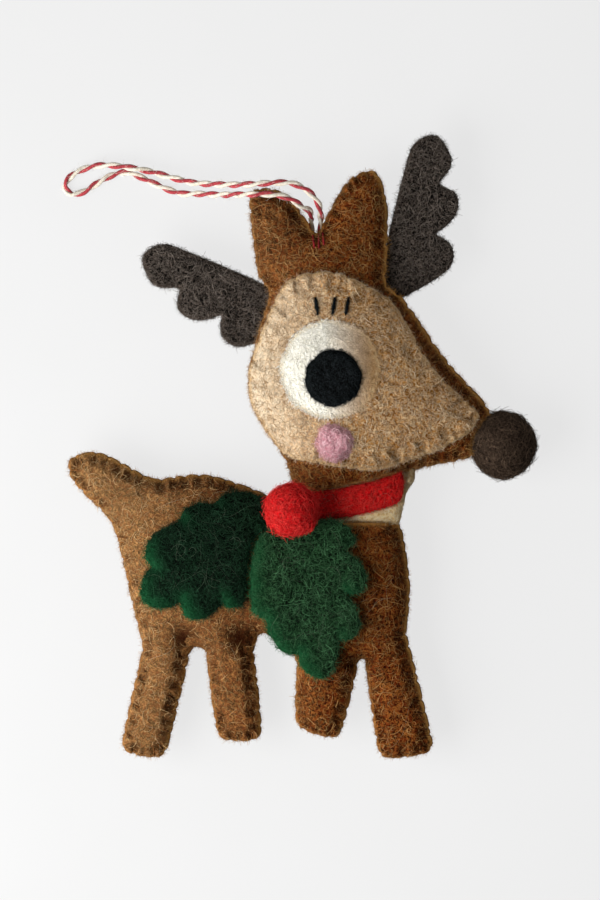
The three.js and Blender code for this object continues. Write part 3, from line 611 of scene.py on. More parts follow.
def felt_finish(name, deep, body, bright, edge=None, edge_width=2.2, gold=None, wool_mix_and_side_light=None, painted_dent_shade=0.0, sheen=0.03):
    """Wool felt from three shades: hollows, the mat and the fibres.

    Toward one side the mat and fibres may turn to other shades: paler toward the lamp at the left, painted light, and
    on the eye tan to the right, partly tan wool and partly painted shade. The cut edge may take another shade, a rim
    that faces a lamp takes a painted highlight, and the dents of stitches and hollows are painted dark, painted
    shade.
    """
    g = Graph(name)
    deep, body, bright = srgb(deep), srgb(body), srgb(bright)
    bent = curled(g, 500.0, 1.4 * MM)
    fibres = g.math("MAXIMUM", creases(g, bent, 900.0, 0.05), creases(g, bent, 1700.0, 0.07))
    hollows = g.noise(bent, 1500.0, 2.0, 0.3)
    blotch = g.noise(g.place, 150.0, 2.0)
    mat = g.ramp(hollows, (0.42, deep), (0.58, body))
    mat = g.blend(g.math("MULTIPLY", g.math("SUBTRACT", blotch, 0.5), 1.4), mat, body)
    fibre_shade = bright
    # painted light: along x the brown and tan turn paler toward the lamp at the left; the eye's cream turns tan to
    # the right, partly tan wool and partly painted shade
    if wool_mix_and_side_light:
        *tones, start, end, most = wool_mix_and_side_light
        mat, fibre_shade = (fade(g, colour, tone, start, end, most) for colour, tone in zip((mat, bright), tones))
    colour = g.blend(g.math("MULTIPLY", fibres, g.math("ADD", 0.3, blotch)), mat, fibre_shade)
    # the cut edge takes another shade: a painted highlight on brown and tan, the tan of the face mixed in on cream
    # and pink, a paler grey on the antlers
    if edge:
        rim = g.math("SUBTRACT", 1.0, g.math("DIVIDE", g.value("edge"), edge_width))
        rim = g.math("MULTIPLY", g.math("MAXIMUM", rim, 0.0), g.math("ADD", 0.3, g.math("MULTIPLY", hollows, 1.3)))
        colour = g.blend(g.math("MINIMUM", rim, 0.8), colour, srgb(edge))
    # painted highlight on the rim that faces a lamp
    if gold:
        lit = g.math("MULTIPLY", g.value("gold"), g.math("ADD", 0.35, g.math("MULTIPLY", hollows, 0.9)))
        colour = g.blend(g.math("MINIMUM", lit, 0.9), colour, srgb(gold))
    # painted shade: darker in the dents of the stitches and of the leg hollows
    if painted_dent_shade:
        colour = g.blend(g.math("MULTIPLY", g.value("stitch"), painted_dent_shade), colour, deep)
    relief = g.math("ADD", g.math("MULTIPLY", fibres, 0.7), hollows)
    g.surface(Base_Color=colour, Normal=g.bump(relief, 0.7, 0.18 * MM), Roughness=0.95, **WOOL_SURFACE,
              Sheen_Weight=sheen, Sheen_Roughness=0.6, Sheen_Tint=bright)
    return g.material


def hair_finish(name, deep, bright, gold=None, wool_mix_and_side_light=None):
    """Loose wool: each hair a shade between two, painted side light along x (on the eye partly tan wool), painted rim
    highlight.
    """
    g = Graph(name)
    ends = srgb(deep), srgb(bright)
    # painted light: along x the hairs turn paler toward the lamp at the left; on the eye they turn tan to the right,
    # partly tan wool and partly painted shade
    if wool_mix_and_side_light:
        *tones, start, end, most = wool_mix_and_side_light
        ends = [fade(g, colour, tone, start, end, most) for colour, tone in zip(ends, tones)]
    colour = g.blend(g.value("shade"), *ends)
    # painted highlight on the hairs of a rim that faces a lamp
    if gold:
        colour = g.blend(g.math("MULTIPLY", g.value("gold"), 0.85), colour, srgb(gold))
    g.surface(Base_Color=colour, Roughness=0.9, **WOOL_SURFACE)
    return g.material


# %% Shades of the wool
SHADES = {  # hollows, mat, fibres
    "brown": ("#260800", "#64280b", "#a8682e"),
    "tan": ("#754718", "#b58248", "#f2d6aa"),
    "cream": ("#e8e3d2", "#f5f1e4", "#fcfaf3"),
    "black": ("#010101", "#050606", "#2a2f31"),
    "pink": ("#a8646f", "#d2969f", "#f2cfd4"),
    "nose": ("#120b07", "#2d221b", "#6f5c4c"),
    "antler": ("#010100", "#080504", "#7d7066"),
    "red": ("#9c0007", "#dc0d15", "#f04a42"),
    "berry": ("#8a020a", "#cc0a14", "#e84640"),
    "green": ("#000200", "#051709", "#37623d"),
    # the rear leaf's green, much darker than the front leaf's: painted shade, where it lies under the front leaf
    "green_painted_shade": ("#000100", "#010502", "#1e3a27"),
    "beige": ("#dab375", "#f4d8a2", "#fcefd2"),
    "filling": ("#d8d2c4", "#ece7dc", "#fbfaf6"),
}
# painted light and shade along x: brown and tan turn paler toward the lamp at the left; the eye's cream turns tan to
# the right, partly tan wool mixed in and partly painted shade
WOOL_MIX_AND_SIDE_LIGHT = {  # shades of mat and fibres at one side, where along x the blend starts and ends (mm), how much blends
    "brown": ("#8a6c44", "#c6a874", 6, -38, 0.42),
    "tan": ("#ecdfc4", "#f8eed8", 6, -9, 0.58),
    "cream": ("#c99a5c", "#e2c08c", 4.5, 14, 0.9),
}
EXTRAS = {  # widths in mm
    # brown: the golden rim that faces the lamp at the upper right is a painted highlight, the paler cut edge a
    # painted highlight too, and the dents are painted darker, painted shade
    "brown": {"gold": "#e6ae5e", "edge": "#a06c36", "edge_width": 0.6, "wool_mix_and_side_light": WOOL_MIX_AND_SIDE_LIGHT["brown"], "painted_dent_shade": 0.6},
    # tan: the paler cut edge is a painted highlight
    "tan": {"edge": "#dcb884", "edge_width": 0.8, "wool_mix_and_side_light": WOOL_MIX_AND_SIDE_LIGHT["tan"]},
    # leaves: the green rim that faces the lamp at the lower left is a painted highlight
    "green": {"gold": "#1d5a34"},
    "green_painted_shade": {"gold": "#1f5e38"},
    "antler": {"edge": "#463b34", "edge_width": 1.0},
    "cream": {"edge": "#d8c298", "edge_width": 0.9, "wool_mix_and_side_light": WOOL_MIX_AND_SIDE_LIGHT["cream"]},
    "pink": {"edge": "#b98a72", "edge_width": 0.9},
}
HAIRS = {  # darkest and palest hair, where they aren't the felt's mat and fibres
    "brown": ("#1e0802", "#d8a566"), "tan": ("#93652f", "#f8e6c6"), "black": ("#020303", "#2c3234"),
    "antler": ("#010100", "#92867c"), "green": ("#05160a", "#54845a"), "green_painted_shade": ("#010502", "#294a33"),
    "stray": ("#7a6648", "#d8c8a4"), "green_stray": ("#263028", "#66745f"), "red_stray": ("#b06058", "#e8b8a8"),
    "brown_fringe": ("#74421b", "#d4ab7c"),
}
# hairs painted the same way: brown paler toward the lamp at the left, painted light; cream tan to the right, partly
# tan wool and partly painted shade
HAIR_WOOL_MIX_AND_SIDE_LIGHT = {"brown": ("#4a2a12", "#dcb986", 4, -34, 1.0), "cream": ("#c99a5c", "#cfa468", 4.5, 14, 0.9)}
felt = {shade: felt_finish(f"felt_{shade}", *tones, **EXTRAS.get(shade, {})) for shade, tones in SHADES.items()}
hair = {}
for shade, tones in ({shade: tones[1:] for shade, tones in SHADES.items()} | HAIRS).items():
    extras = EXTRAS.get(shade.replace("_fringe", ""), {})
    hair[shade] = hair_finish(f"hair_{shade}", *tones, extras.get("gold"), HAIR_WOOL_MIX_AND_SIDE_LIGHT.get(shade))
print(len(felt), "felts and", len(hair), "wools")

# %% [markdown]
# ## Loose wool
# Felt is known by its hairs: they lie over the surface in curls and stand out along the silhouette. A particle
# system would not survive the export, so every hair is a thin three-sided tube along a curled line, and all the
# hairs of a piece are one mesh. A hair starts on a random triangle, chosen by area, runs along the surface with a
# slow turn, and lifts off it a little. A fringe of short fine hairs stands off each cut, and a few long strays lie
# over the felt in loops.


# %% Tubes along many lines
def tubes(lines, radii, sides):
    """Tubes round many lines at once: a ring of points at each step of each line, closed by a point at both ends.

    Rings lie across the line's direction, on two axes that are square to it; the radius tapers as given.
    """
    count, steps = lines.shape[:2]
    along = np.gradient(lines, axis=1)
    along /= np.maximum(np.linalg.norm(along, axis=2, keepdims=True), 1e-12)
    helper = np.where(np.abs(along[..., 2:]) < 0.8, np.array([0.0, 0, 1]), np.array([1.0, 0, 0]))
    across = np.cross(along, helper)
    across /= np.maximum(np.linalg.norm(across, axis=2, keepdims=True), 1e-12)
    other = np.cross(along, across)
    angle = 2 * np.pi * np.arange(sides) / sides
    ring = across[:, :, None] * np.cos(angle)[:, None] + other[:, :, None] * np.sin(angle)[:, None]
    points = lines[:, :, None] + ring * radii[:, :, None, None]
    tips = np.stack([lines[:, 0], lines[:, -1]], axis=1)
    per = steps * sides
    all_points = np.concatenate([points.reshape(count, per, 3), tips], axis=1)
    i, j = np.meshgrid(np.arange(steps - 1), np.arange(sides), indexing="ij")
    a, b = (i * sides + j).ravel(), (i * sides + (j + 1) % sides).ravel()
    wall = np.concatenate([np.column_stack([a, b, b + sides]), np.column_stack([a, b + sides, a + sides])])
    j = np.arange(sides)
    last = (steps - 1) * sides
    start = np.column_stack([np.full(sides, per), (j + 1) % sides, j])
    end = np.column_stack([np.full(sides, per + 1), last + j, last + (j + 1) % sides])
    one = np.concatenate([wall, start, end])
    faces = (one[None] + (np.arange(count) * (per + 2))[:, None, None]).reshape(-1, 3)
    return all_points.reshape(-1, 3), faces


def strands(name, lines, radii, shades, material, gold=None):
    """Hairs along given lines as one piece, each with its own shade."""
    points, faces = tubes(lines, radii, 3)
    piece = new_piece(name, points, faces, material)
    set_values(piece, "shade", np.repeat(shades, len(points) // len(lines)))
    # each hair's share of the painted rim highlight
    if gold is not None:
        set_values(piece, "gold", np.repeat(gold, len(points) // len(lines)))
    print(f"{name}: {len(lines)} hairs")
    return piece


# %% Where hairs start and head
def scatter(points, faces, count, weight, random):
    """Random places on triangles, chosen by area times a weight: the triangle's number, the place and the normal."""
    a, b, c = points[faces[:, 0]], points[faces[:, 1]], points[faces[:, 2]]
    normals = np.cross(b - a, c - a)
    area = np.linalg.norm(normals, axis=1)
    normals /= np.maximum(area, 1e-15)[:, None]
    chance = area if weight is None else area * weight
    chosen = random.choice(len(faces), count, p=chance / chance.sum())
    u, v = random.uniform(0, 1, (2, count))
    fold = u + v > 1
    u, v = np.where(fold, 1 - u, u)[:, None], np.where(fold, 1 - v, v)[:, None]
    return chosen, a[chosen] + (b - a)[chosen] * u + (c - a)[chosen] * v, normals[chosen]


def headings(normal, lean, random):
    """Unit directions along a surface: random ones, with a lean added where it is given."""
    tangent = np.cross(normal, random.normal(size=normal.shape))
    tangent /= np.linalg.norm(tangent, axis=1, keepdims=True)
    if lean is not None:
        tangent = tangent + lean
        tangent -= normal * (tangent * normal).sum(1, keepdims=True)
        tangent /= np.maximum(np.linalg.norm(tangent, axis=1, keepdims=True), 1e-9)
    return tangent


# %% Wool hairs
COARSE = 0.3  # share of hairs that are thick, long and pale
COARSE_LENGTH, COARSE_RADIUS = 1.35, 1.3  # times those of a fine hair
HAIR_TURN = 2.4  # spread of a hair's turn from root to tip, in radians
ROOT_DEPTH = 0.04 * MM


def wool(name, points, faces, count, material, length=2.2 * MM, lift=0.2 * MM, radius=0.05 * MM, loose=0.22, steps=5,
         seed=1, weight=None, shorter=None, lean=None, gold=None):
    """Curled hairs: start + length * (t along a turning tangent) + lift * (a hump of t along the normal)."""
    random = np.random.default_rng(seed)
    chosen, start, normal = scatter(points, faces, count, weight, random)
    tangent = headings(normal, None if lean is None else lean[chosen], random)
    side = np.cross(normal, tangent)
    coarse = random.uniform(0, 1, count) < COARSE
    long = length * random.uniform(0.4, 1.2, count) * np.where(coarse, COARSE_LENGTH, 1)
    if shorter is not None:
        long = long * shorter[chosen]
    long = long[:, None]
    turn = random.normal(0, HAIR_TURN, count)[:, None]
    turn = np.where(np.abs(turn) < 1e-3, 1e-3, turn)
    t = np.linspace(0, 1, steps)[None]
    ahead, aside = np.sin(turn * t) / turn * long, (1 - np.cos(turn * t)) / turn * long
    free = random.uniform(0, 1, count)[:, None] < loose
    hump = np.where(free, 1.5 * t ** 1.5, np.sin(np.pi * t))
    rise = hump * (lift * random.uniform(0.3, 1.0, count))[:, None] - ROOT_DEPTH * (1 - t)
    lines = (start[:, None] + tangent[:, None] * ahead[..., None] + side[:, None] * aside[..., None]
             + normal[:, None] * rise[..., None])
    radii = radius * (random.uniform(0.6, 1.1, count) * np.where(coarse, COARSE_RADIUS, 1))[:, None] * (1 - 0.5 * t)
    lines[..., 2] = np.maximum(lines[..., 2], 1.7 * radius)
    shades = np.where(coarse, random.uniform(0.35, 0.9, count), 0.85 * random.uniform(0, 1, count) ** 1.7)
    return strands(name, lines, radii, shades, material, None if gold is None else gold[chosen])


# %% Wool and fringe on a cut
def wool_on(cut, name, count, material, edges=2.0, border=0.5 * MM, rim=0.4, under=(), **looks):
    """Hairs on a cut's outer face, none of them where other felt covers it.

    Within a border along the edge they are closer, shorter and lean out, and there are few in a hollow.
    """
    depth = cut.distance[cut.faces].mean(1)
    weight = (1 + edges * np.exp(-depth / border)) * (1 - cut.hollow[cut.faces].mean(1))
    middles = cut.plan[cut.faces].mean(1)
    for node in under:
        weight = np.where(inside(middles, cover_line(node, -1.2 * MM)), 0, weight)
    shorter = np.clip(rim + depth / (3 * MM), rim, 1)
    outward = -inward_of(cut.cut)[cut.number[cut.faces[:, 0]]] * (1.3 * np.exp(-depth / (0.5 * MM)))[:, None]
    lean = np.column_stack([outward, np.zeros(len(outward))])
    # the hairs take the painted highlight of the rim they grow on
    looks.update(weight=weight, shorter=shorter, lean=lean, gold=cut.lit[cut.faces].mean(1))
    return wool(name, cut.face, cut.faces, count, material, **looks)


def fringe(cut, name, count, material, seed):
    """Short fine hairs that stand off a cut's edge, so that its silhouette is soft."""
    return wool_on(cut, name, count, material, edges=80.0, rim=0.5, length=1.1 * MM, lift=0.6 * MM,
                   radius=0.024 * MM, loose=1.0, steps=4, seed=seed)


# %% Strays
STRAY_STEPS = 26
STRAY_RADIUS = 0.022 * MM


def strays(name, cut, count, seed, material, length=9.0 * MM):
    """Long loose hairs in loops: a heading that drifts and sways, walked in even steps over the felt.

    Five times as many are tried as are wanted, and the first ones that stay wholly on the felt are kept.
    """
    random = np.random.default_rng(seed)
    tries = 5 * count
    t = np.linspace(0, 1, STRAY_STEPS)[None]
    first, drift = random.uniform(0, 2 * np.pi, tries), random.normal(0, 2.0, tries)
    phase = random.uniform(0, 6, tries)
    heading = first[:, None] + drift[:, None] * t + 0.6 * np.sin(4 * t + phase[:, None])
    stride = (length * random.uniform(0.5, 1.3, tries) / STRAY_STEPS)[:, None]
    start = cut.plan[random.choice(np.nonzero(cut.distance > 1.5 * MM)[0], tries)]
    plan = start[:, None] + np.cumsum(np.stack([np.cos(heading), np.sin(heading)], -1) * stride[..., None], axis=1)
    plan = plan[inside(plan.reshape(-1, 2), cut.line).reshape(tries, STRAY_STEPS).all(1)][:count]
    count = len(plan)
    height = near_height(cut, plan.reshape(-1, 2)).reshape(count, STRAY_STEPS)
    hump = 0.1 * MM + 0.4 * MM * np.sin(np.pi * t) * random.uniform(0.2, 1, count)[:, None]
    lines = np.concatenate([plan, (height + hump)[..., None]], axis=2)
    radii = STRAY_RADIUS * random.uniform(0.7, 1.2, count)[:, None] * (1 - 0.4 * t)
    return strands(name, lines, radii, random.uniform(0, 1, count), material)


def settle(piece, body="ornament", node=None):
    """Rides a finished piece on its body and, when a node is given, hides that node, whose place the piece takes."""
    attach(piece, body)
    if node:
        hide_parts(node)
    return piece


# %% [markdown]
# ## Body and head
# Both are a pair of panels. A whip stitch goes round and round the two edges every few millimetres and pinches
# them, which gives the ornament its scalloped outline and the short furrows inside it. The furrows could be
# sculpted, but here each stitch is a number on the cut, so that outline, furrow and thread agree. The panels stay
# apart where the neck, the antlers, the twine and the nose come out between them, and the felt hangs slack in two
# hollows where the hind legs start.

# %% Panels and fillings
STITCH = 2.7 * MM  # from one whip stitch to the next
PANEL_PITCH, FILLING_PITCH = 0.8 * MM, 1.6 * MM
BACK_SHIFT = np.array([0.15, 0.13]) * MM  # the back lies a little out of line, and its edge shows along the top
OPENINGS = {"body": ["neck_sleeve"], "head": ["neck_sleeve", "antler_left", "antler_right", "loop_knot", "nose_ball"]}
COVERED = {"body": ["rear_leaf", "front_leaf"], "head": ["face_patch"]}
# the felt sinks in these hollows and is painted darker there: painted shade
LEG_HOLLOWS = [(-23.6, -38.2, 2.8, 1.7), (-12.4, -38.2, 2.8, 1.7)]  # x, y, width and depth in mm
FRONT_HAIRS, BACK_HAIRS = {"body": 5400, "head": 4000}, 2000
FRONT_FRINGE, BACK_FRINGE = 3200, 1200
seam = (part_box("body_back_panel")[1][2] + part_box("body_front_panel")[0][2]) / 2
panels = {}
for part, seed in (("body", 11), ("head", 23)):
    for layer, up in (("front", True), ("back", False)):
        node = f"{part}_{layer}_panel"
        cut = Felt(node, PANEL_PITCH, up=up, shift=(0, 0) if up else BACK_SHIFT, seed=seed)
        cut.sew(STITCH, ["neck_sleeve", "nose_ball"], like=None if up else panels[part, "front"])
        build_felt(cut, f"{part}_{layer}_felt", felt["brown"], "sewn", roll=2.6 * MM, lumps=0.13 * MM, seam=seam,
                   opening=OPENINGS[part], hollows=LEG_HOLLOWS if node == "body_front_panel" else ())
        settle(cut.piece, node=node)
        panels[part, layer] = cut
        hairs = wool_on(cut, f"{part}_{layer}_wool", FRONT_HAIRS[part] if up else BACK_HAIRS, hair["brown"],
                        border=(0.5 if up else 2.5) * MM, under=COVERED[part] if up else (), seed=seed + 1)
        settle(hairs)
        count = FRONT_FRINGE if up else BACK_FRINGE
        settle(fringe(cut, f"{part}_{layer}_fringe", count, hair["brown_fringe"], seed + 2))
    filling = Felt(f"{part}_filling", FILLING_PITCH, seed=seed + 5)
    build_felt(filling, f"{part}_stuffing", felt["filling"], "pad", roll=2.0 * MM)
    settle(filling.piece, node=f"{part}_filling")
settle(strays("body_strays", panels["body", "front"], 30, 15, hair["stray"]))
print("seam height, mm:", round(seam / MM, 2))

# %% [markdown]
# ## Whip stitches
# Each stitch is one loop of thread: it comes up through the front panel a little way in, crosses the pinched edge
# and goes down through the back. A bevelled curve would have to be laid by hand over every dent, so each stitch is a
# tube along a line that reads its heights from the two felts.

# %% Thread
THREAD = 0.13 * MM
STITCH_DEPTH = 1.9 * MM  # how far in from the edge a whip stitch comes up


def thread_finish(name, dark, light):
    """Spun thread: two shades in short streaks."""
    g = Graph(name)
    streaks = g.noise(g.place, 1700.0, 2.0, 0.8)
    g.surface(Base_Color=g.ramp(streaks, (0.35, srgb(dark)), (0.65, srgb(light))), Roughness=0.9,
              Specular_IOR_Level=0.2)
    return g.material


def whip_stitches(name, front, back, depth, material):
    """Thread over two felts' edges: points at falling depth on the front, one outside, and in again behind."""
    numbers = front.stitches
    edge, inward = front.cut[numbers], inward_of(front.cut)[numbers]
    along = np.column_stack([inward[:, 1], -inward[:, 0]])
    depths = np.array([1.0, 0.9, 0.65, 0.4, 0.16]) * depth
    slant = np.random.default_rng(5).normal(0.25, 0.2, len(numbers))
    lines = []
    for cut, side, order in ((front, 1, depths), (back, -1, depths[::-1])):
        for d in order:
            plan = edge + inward * d + along * (slant * d)[:, None] * side
            sunk = -0.5 * MM if d == depth else THREAD * 0.3
            lines.append(np.column_stack([plan, near_height(cut, plan) + side * sunk]))
        if side > 0:
            middle = (near_height(front, edge) + near_height(back, edge)) / 2
            lines.append(np.column_stack([edge - inward * THREAD * 0.5, middle]))
    lines = np.stack(lines, axis=1)
    points, faces = tubes(lines, np.full(lines.shape[:2], THREAD), 6)
    print(f"{name}: {len(numbers)} stitches")
    return new_piece(name, points, faces, material)


seam_thread = thread_finish("seam_thread", "#3f200c", "#855424")
for part in ("body", "head"):
    front, back = panels[part, "front"], panels[part, "back"]
    settle(whip_stitches(f"{part}_stitches", front, back, STITCH_DEPTH, seam_thread))

# %% [markdown]
# ## Neck, face and scarf
# The neck is a small pad between head and body. Its beige shows at the throat, where it is trimmed to a hollow curve
# and swells a little below the scarf. The tan face is laid on the front of the head and stitched round its edge. The
# eye, the lashes and the cheek are felted into it, so they thin out at their edges; discs with a bevel would stand up
# like buttons. The scarf is a loose strip.


# %% Neck
def throat(line):
    """The neck's throat side, trimmed to a hollow curve out to the chin: x is at most a table's value at its y."""
    x, y = line.T / MM
    most = np.interp(y, [-12.7, -8.7, -7.5, -6.3, -5.5, -4.1], [20.2, 20.8, 21.3, 22.0, 22.6, 24.6])
    return np.column_stack([np.minimum(x, most), y]) * MM


def between_scarf_and_body(plan, most=1.7 * MM):
    """The neck swells below the scarf: by the most, times a smooth step of the distance from scarf and body."""
    free = np.ones(len(plan))
    for node in ("body_front_panel", "scarf_band"):
        line = cover_line(node)
        distance, number = edge_place(plan, line)
        free = free * ease(np.where(inside(plan, line), 0, distance), 0, 0.9 * MM)
    return most * free * ease(line[number, 1] - plan[:, 1], -0.3 * MM, 0.3 * MM)


neck = Felt("neck_sleeve", 0.8 * MM, blur=0.6 * MM, grow=np.array([0, 2.0]) * MM, trim=throat, seed=31)
build_felt(neck, "neck_felt", felt["beige"], "pad", roll=1.2 * MM, swell=between_scarf_and_body)
settle(neck.piece, node="neck_sleeve")
settle(wool_on(neck, "neck_wool", 700, hair["beige"], seed=32))

# %% Face
head = panels["head", "front"]
face = Felt("face_patch", 0.65 * MM, grow=0.2 * MM, shift=np.array([-0.3, -0.1]) * MM, seed=41)
face.sew(3.6 * MM, dent=0.75 * MM, pinch=0.42 * MM, reach=4.0 * MM)
build_felt(face, "face_felt", felt["tan"], "laid", roll=1.5 * MM, lumps=0.12 * MM, bed=head)
settle(face.piece, node="face_patch")
hairs = wool_on(face, "face_wool", 5000, hair["tan"], under=["eye_white", "cheek_spot"], seed=42, length=1.9 * MM)
settle(hairs)
rim = settle(fringe(face, "face_fringe", 1500, hair["tan"], 43))

# %% Eye, lashes and cheek
LASH = ("black", "black_felt", 0.25, 0.6, 0.0, -0.2, 110)
FELTED = {  # shade, slot, pitch of the points, rounded edge, ragged cut and growth in mm, number of hairs
    "eye_white": ("cream", "cream_felt", 0.5, 4.2, 0.28, 0.0, 2900),
    "eye_pupil": ("black", "black_felt", 0.4, 1.2, 0.16, 0.0, 1500),
    "cheek_spot": ("pink", "pink_felt", 0.4, 1.4, 0.28, 0.0, 900),
    "eyelash_1": LASH, "eyelash_2": LASH, "eyelash_3": LASH,
}
laid = {}
for number, (node, (shade, slot, pitch, roll, ragged, grow, count)) in enumerate(FELTED.items()):
    seed = 50 + 3 * number
    cut = Felt(node, pitch * MM, blur=0.2 * MM, grow=grow * MM, ragged=ragged * MM, seed=seed)
    build_felt(cut, f"{node}_felt", felt[shade], "felted", roll=roll * MM, lumps=0.08 * MM,
               bed=laid["eye_white"] if node == "eye_pupil" else face, rim_light_width=3.6 * MM, way=(0.95, -0.3))
    settle(cut.piece, node=node)
    hairs = wool_on(cut, f"{node}_wool", count, hair[shade], seed=seed + 1, length=1.7 * MM, edges=6.0)
    settle(hairs)
    laid[node] = cut

# %% Scarf
scarf = Felt("scarf_band", 0.45 * MM, grow=np.array([0.1, 0.6]) * MM, shift=np.array([0, 0.3]) * MM, seed=81)
build_felt(scarf, "scarf_felt", felt["red"], "free", roll=1.2 * MM, lumps=0.14 * MM)
settle(scarf.piece, node="scarf_band")
settle(wool_on(scarf, "scarf_wool", 1100, hair["red"], seed=82))
settle(strays("scarf_strays", scarf, 8, 83, hair["red_stray"]))

# %% [markdown]
# ## Antlers and leaves
# Stiffer felt, left unstuffed. An antler is held in the seam and stays as it is. The leaves are held by their stems
# under the berry; each leaf's meshes are left where the frame holds them and ride on no body.

# %% Antlers
for number, node in enumerate(("antler_left", "antler_right")):
    seed = 91 + 4 * number
    cut = Felt(node, 0.6 * MM, seed=seed)
    build_felt(cut, f"{node}_felt", felt["antler"], "free", roll=1.0 * MM, lumps=0.12 * MM)
    settle(cut.piece, node=node)
    hairs = settle(wool_on(cut, f"{node}_wool", 2600, hair["antler"], seed=seed + 1))
    rim = settle(fringe(cut, f"{node}_fringe", 1100, hair["antler"], seed + 2))

# %% Leaves
# the rear leaf takes the darker green, painted shade under the front leaf
LEAVES = {"rear_leaf": ("green_painted_shade", 0.3), "front_leaf": ("green", 0.1)}  # shade, growth in mm
for number, (node, (shade, grow)) in enumerate(LEAVES.items()):
    body, seed = f"{node}_flap", 101 + 4 * number
    cut = Felt(node, 0.6 * MM, blur=0.35 * MM, grow=grow * MM, ragged=0.18 * MM, seed=seed)
    # the rims that face the lamp at the lower left take a painted highlight
    piece = build_felt(cut, f"{node}_felt", felt[shade], "free", roll=1.3 * MM, lumps=0.16 * MM, rim_light_width=2.0 * MM,
                       way=(-0.8, -0.6))
    hairs = wool_on(cut, f"{node}_wool", 4000, hair[shade], seed=seed + 1, edges=4.0, rim=0.6)
    rim = fringe(cut, f"{node}_fringe", 1500, hair[shade], seed + 3)
    loose = strays(f"{node}_strays", cut, 34, seed + 2, hair["green_stray"], length=7.0 * MM)
    for part in (piece, hairs, rim, loose):
        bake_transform(part)
    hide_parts(node)

# %% [markdown]
# ## Felt balls
# The nose and the berry are rolled wool: a sphere that is never quite round. A sphere with a Displace modifier comes
# close. A grid of longitude and latitude carries the radius with its slow lumps just as well, and can be drawn flat
# at the foot, where a thread pulls the berry down.


# %% A felt ball
def ball(name, node, material, seed, around=96, up=48):
    """A lumpy sphere on a grid of angles: radius times one plus a few sine waves, cut level at the node's foot."""
    low, high = (np.array(corner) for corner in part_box(node))
    radius = (high[0] - low[0]) / 2
    middle = np.array([(low[0] + high[0]) / 2, (low[1] + high[1]) / 2, high[2] - radius])
    tilt, turn = np.meshgrid(np.linspace(0, np.pi, up + 1)[1:-1], 2 * np.pi * np.arange(around) / around,
                             indexing="ij")
    way = np.stack([np.sin(tilt) * np.cos(turn), np.sin(tilt) * np.sin(turn), np.cos(tilt)], axis=-1)
    waves = np.random.default_rng(seed).normal(size=(6, 3)) * 3.2
    lumps = np.sin(way @ waves.T + np.arange(6)).sum(-1) * 0.008
    skin = middle + way * (radius * (0.985 + lumps))[..., None]
    skin[..., 2] = np.clip(skin[..., 2], low[2], high[2])
    poles = np.array([[*middle[:2], high[2] - 0.01 * radius], [*middle[:2], low[2]]])
    points = np.vstack([skin.reshape(-1, 3), poles])
    i, j = np.meshgrid(np.arange(up - 2), np.arange(around), indexing="ij")
    a, b = (i * around + j).ravel(), (i * around + (j + 1) % around).ravel()
    walls = np.concatenate([np.column_stack([a, a + around, b + around]), np.column_stack([a, b + around, b])])
    j = np.arange(around)
    top, foot, last = len(points) - 2, len(points) - 1, (up - 2) * around
    crown = np.column_stack([np.full(around, top), j, (j + 1) % around])
    base = np.column_stack([np.full(around, foot), last + (j + 1) % around, last + j])
    faces = np.concatenate([walls, crown, base])
    print(f"{name}: a ball of {2 * radius / MM:.1f} mm")
    return new_piece(name, points, faces, material), points, faces


# %% Nose and berry
nose, points, faces = ball("nose_felt", "nose_ball", felt["nose"], 7)
settle(nose, node="nose_ball")
settle(wool("nose_wool", points, faces, 2200, hair["nose"], length=2.6 * MM, seed=8))
berry, points, faces = ball("berry_felt", "holly_berry", felt["berry"], 17)
settle(berry, node="holly_berry")
settle(wool("berry_wool", points, faces, 1700, hair["berry"], length=2.4 * MM, seed=18))

# %% [markdown]
# ## The twine
# A limp two-ply twine, one ply red and one cream. Its route is the one in the frame: out of the notch between the
# ears, over the tip of the far ear, down to the table and back. A bevelled curve makes one smooth strand, so each
# ply is a tube of its own, on a helix round that route.

# %% Twine route
TWINE = 1.4 * MM
TWINE_EXIT = 3.4 * MM  # from the notch to the end of the knot
STRAND_APART = 1.9 * MM
LOOP_START_GAP = 0.4 * MM
ROUTE_STEP = 0.35 * MM
knot_low, knot_high = (np.array(corner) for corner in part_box("loop_knot"))
notch = np.array([(knot_low[0] + knot_high[0]) / 2, knot_high[1] - TWINE_EXIT])
seam_height = (knot_low[2] + knot_high[2]) / 2
table_height, ear_height = 0.1 * MM + TWINE / 2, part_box("hanging_loop")[1][2] - TWINE / 2
# Points are millimetres from the notch; the last number is 0 on the table and 1 over the ear.
LOOP_PLAN = np.array([
    (0.9, 5.2, 0.7), (0, 7.4, 0.86), (-2, 9.3, 0.97), (-5, 10.6, 1), (-9, 10.6, 1), (-13, 10.4, 0.9),
    (-17, 10.4, 0.72), (-20.8, 10.6, 0.52), (-24.6, 11, 0.33), (-28.6, 12, 0.19), (-32.6, 13.2, 0.15),
    (-36.6, 14, 0.18), (-40.2, 14.5, 0.15), (-43.6, 14.6, 0.07), (-47, 13.8, 0.01), (-49.5, 12.3, 0),
    (-50.5, 10.3, 0), (-49.2, 8.9, 0), (-46.8, 9.3, 0), (-44.4, 10.8, 0), (-41.6, 12.4, 0), (-38.2, 13.3, 0),
    (-34.6, 12, 0), (-31, 10.3, 0.01), (-27.2, 9, 0.08), (-23.2, 8.8, 0.24), (-19, 8.5, 0.48),
    (-15.2, 8.4, 0.76), (-11.8, 8.4, 0.96), (-8.6, 8.3, 1), (-5.4, 7.6, 0.98), (-2.8, 6, 0.84), (-1.2, 5.1, 0.7),
])


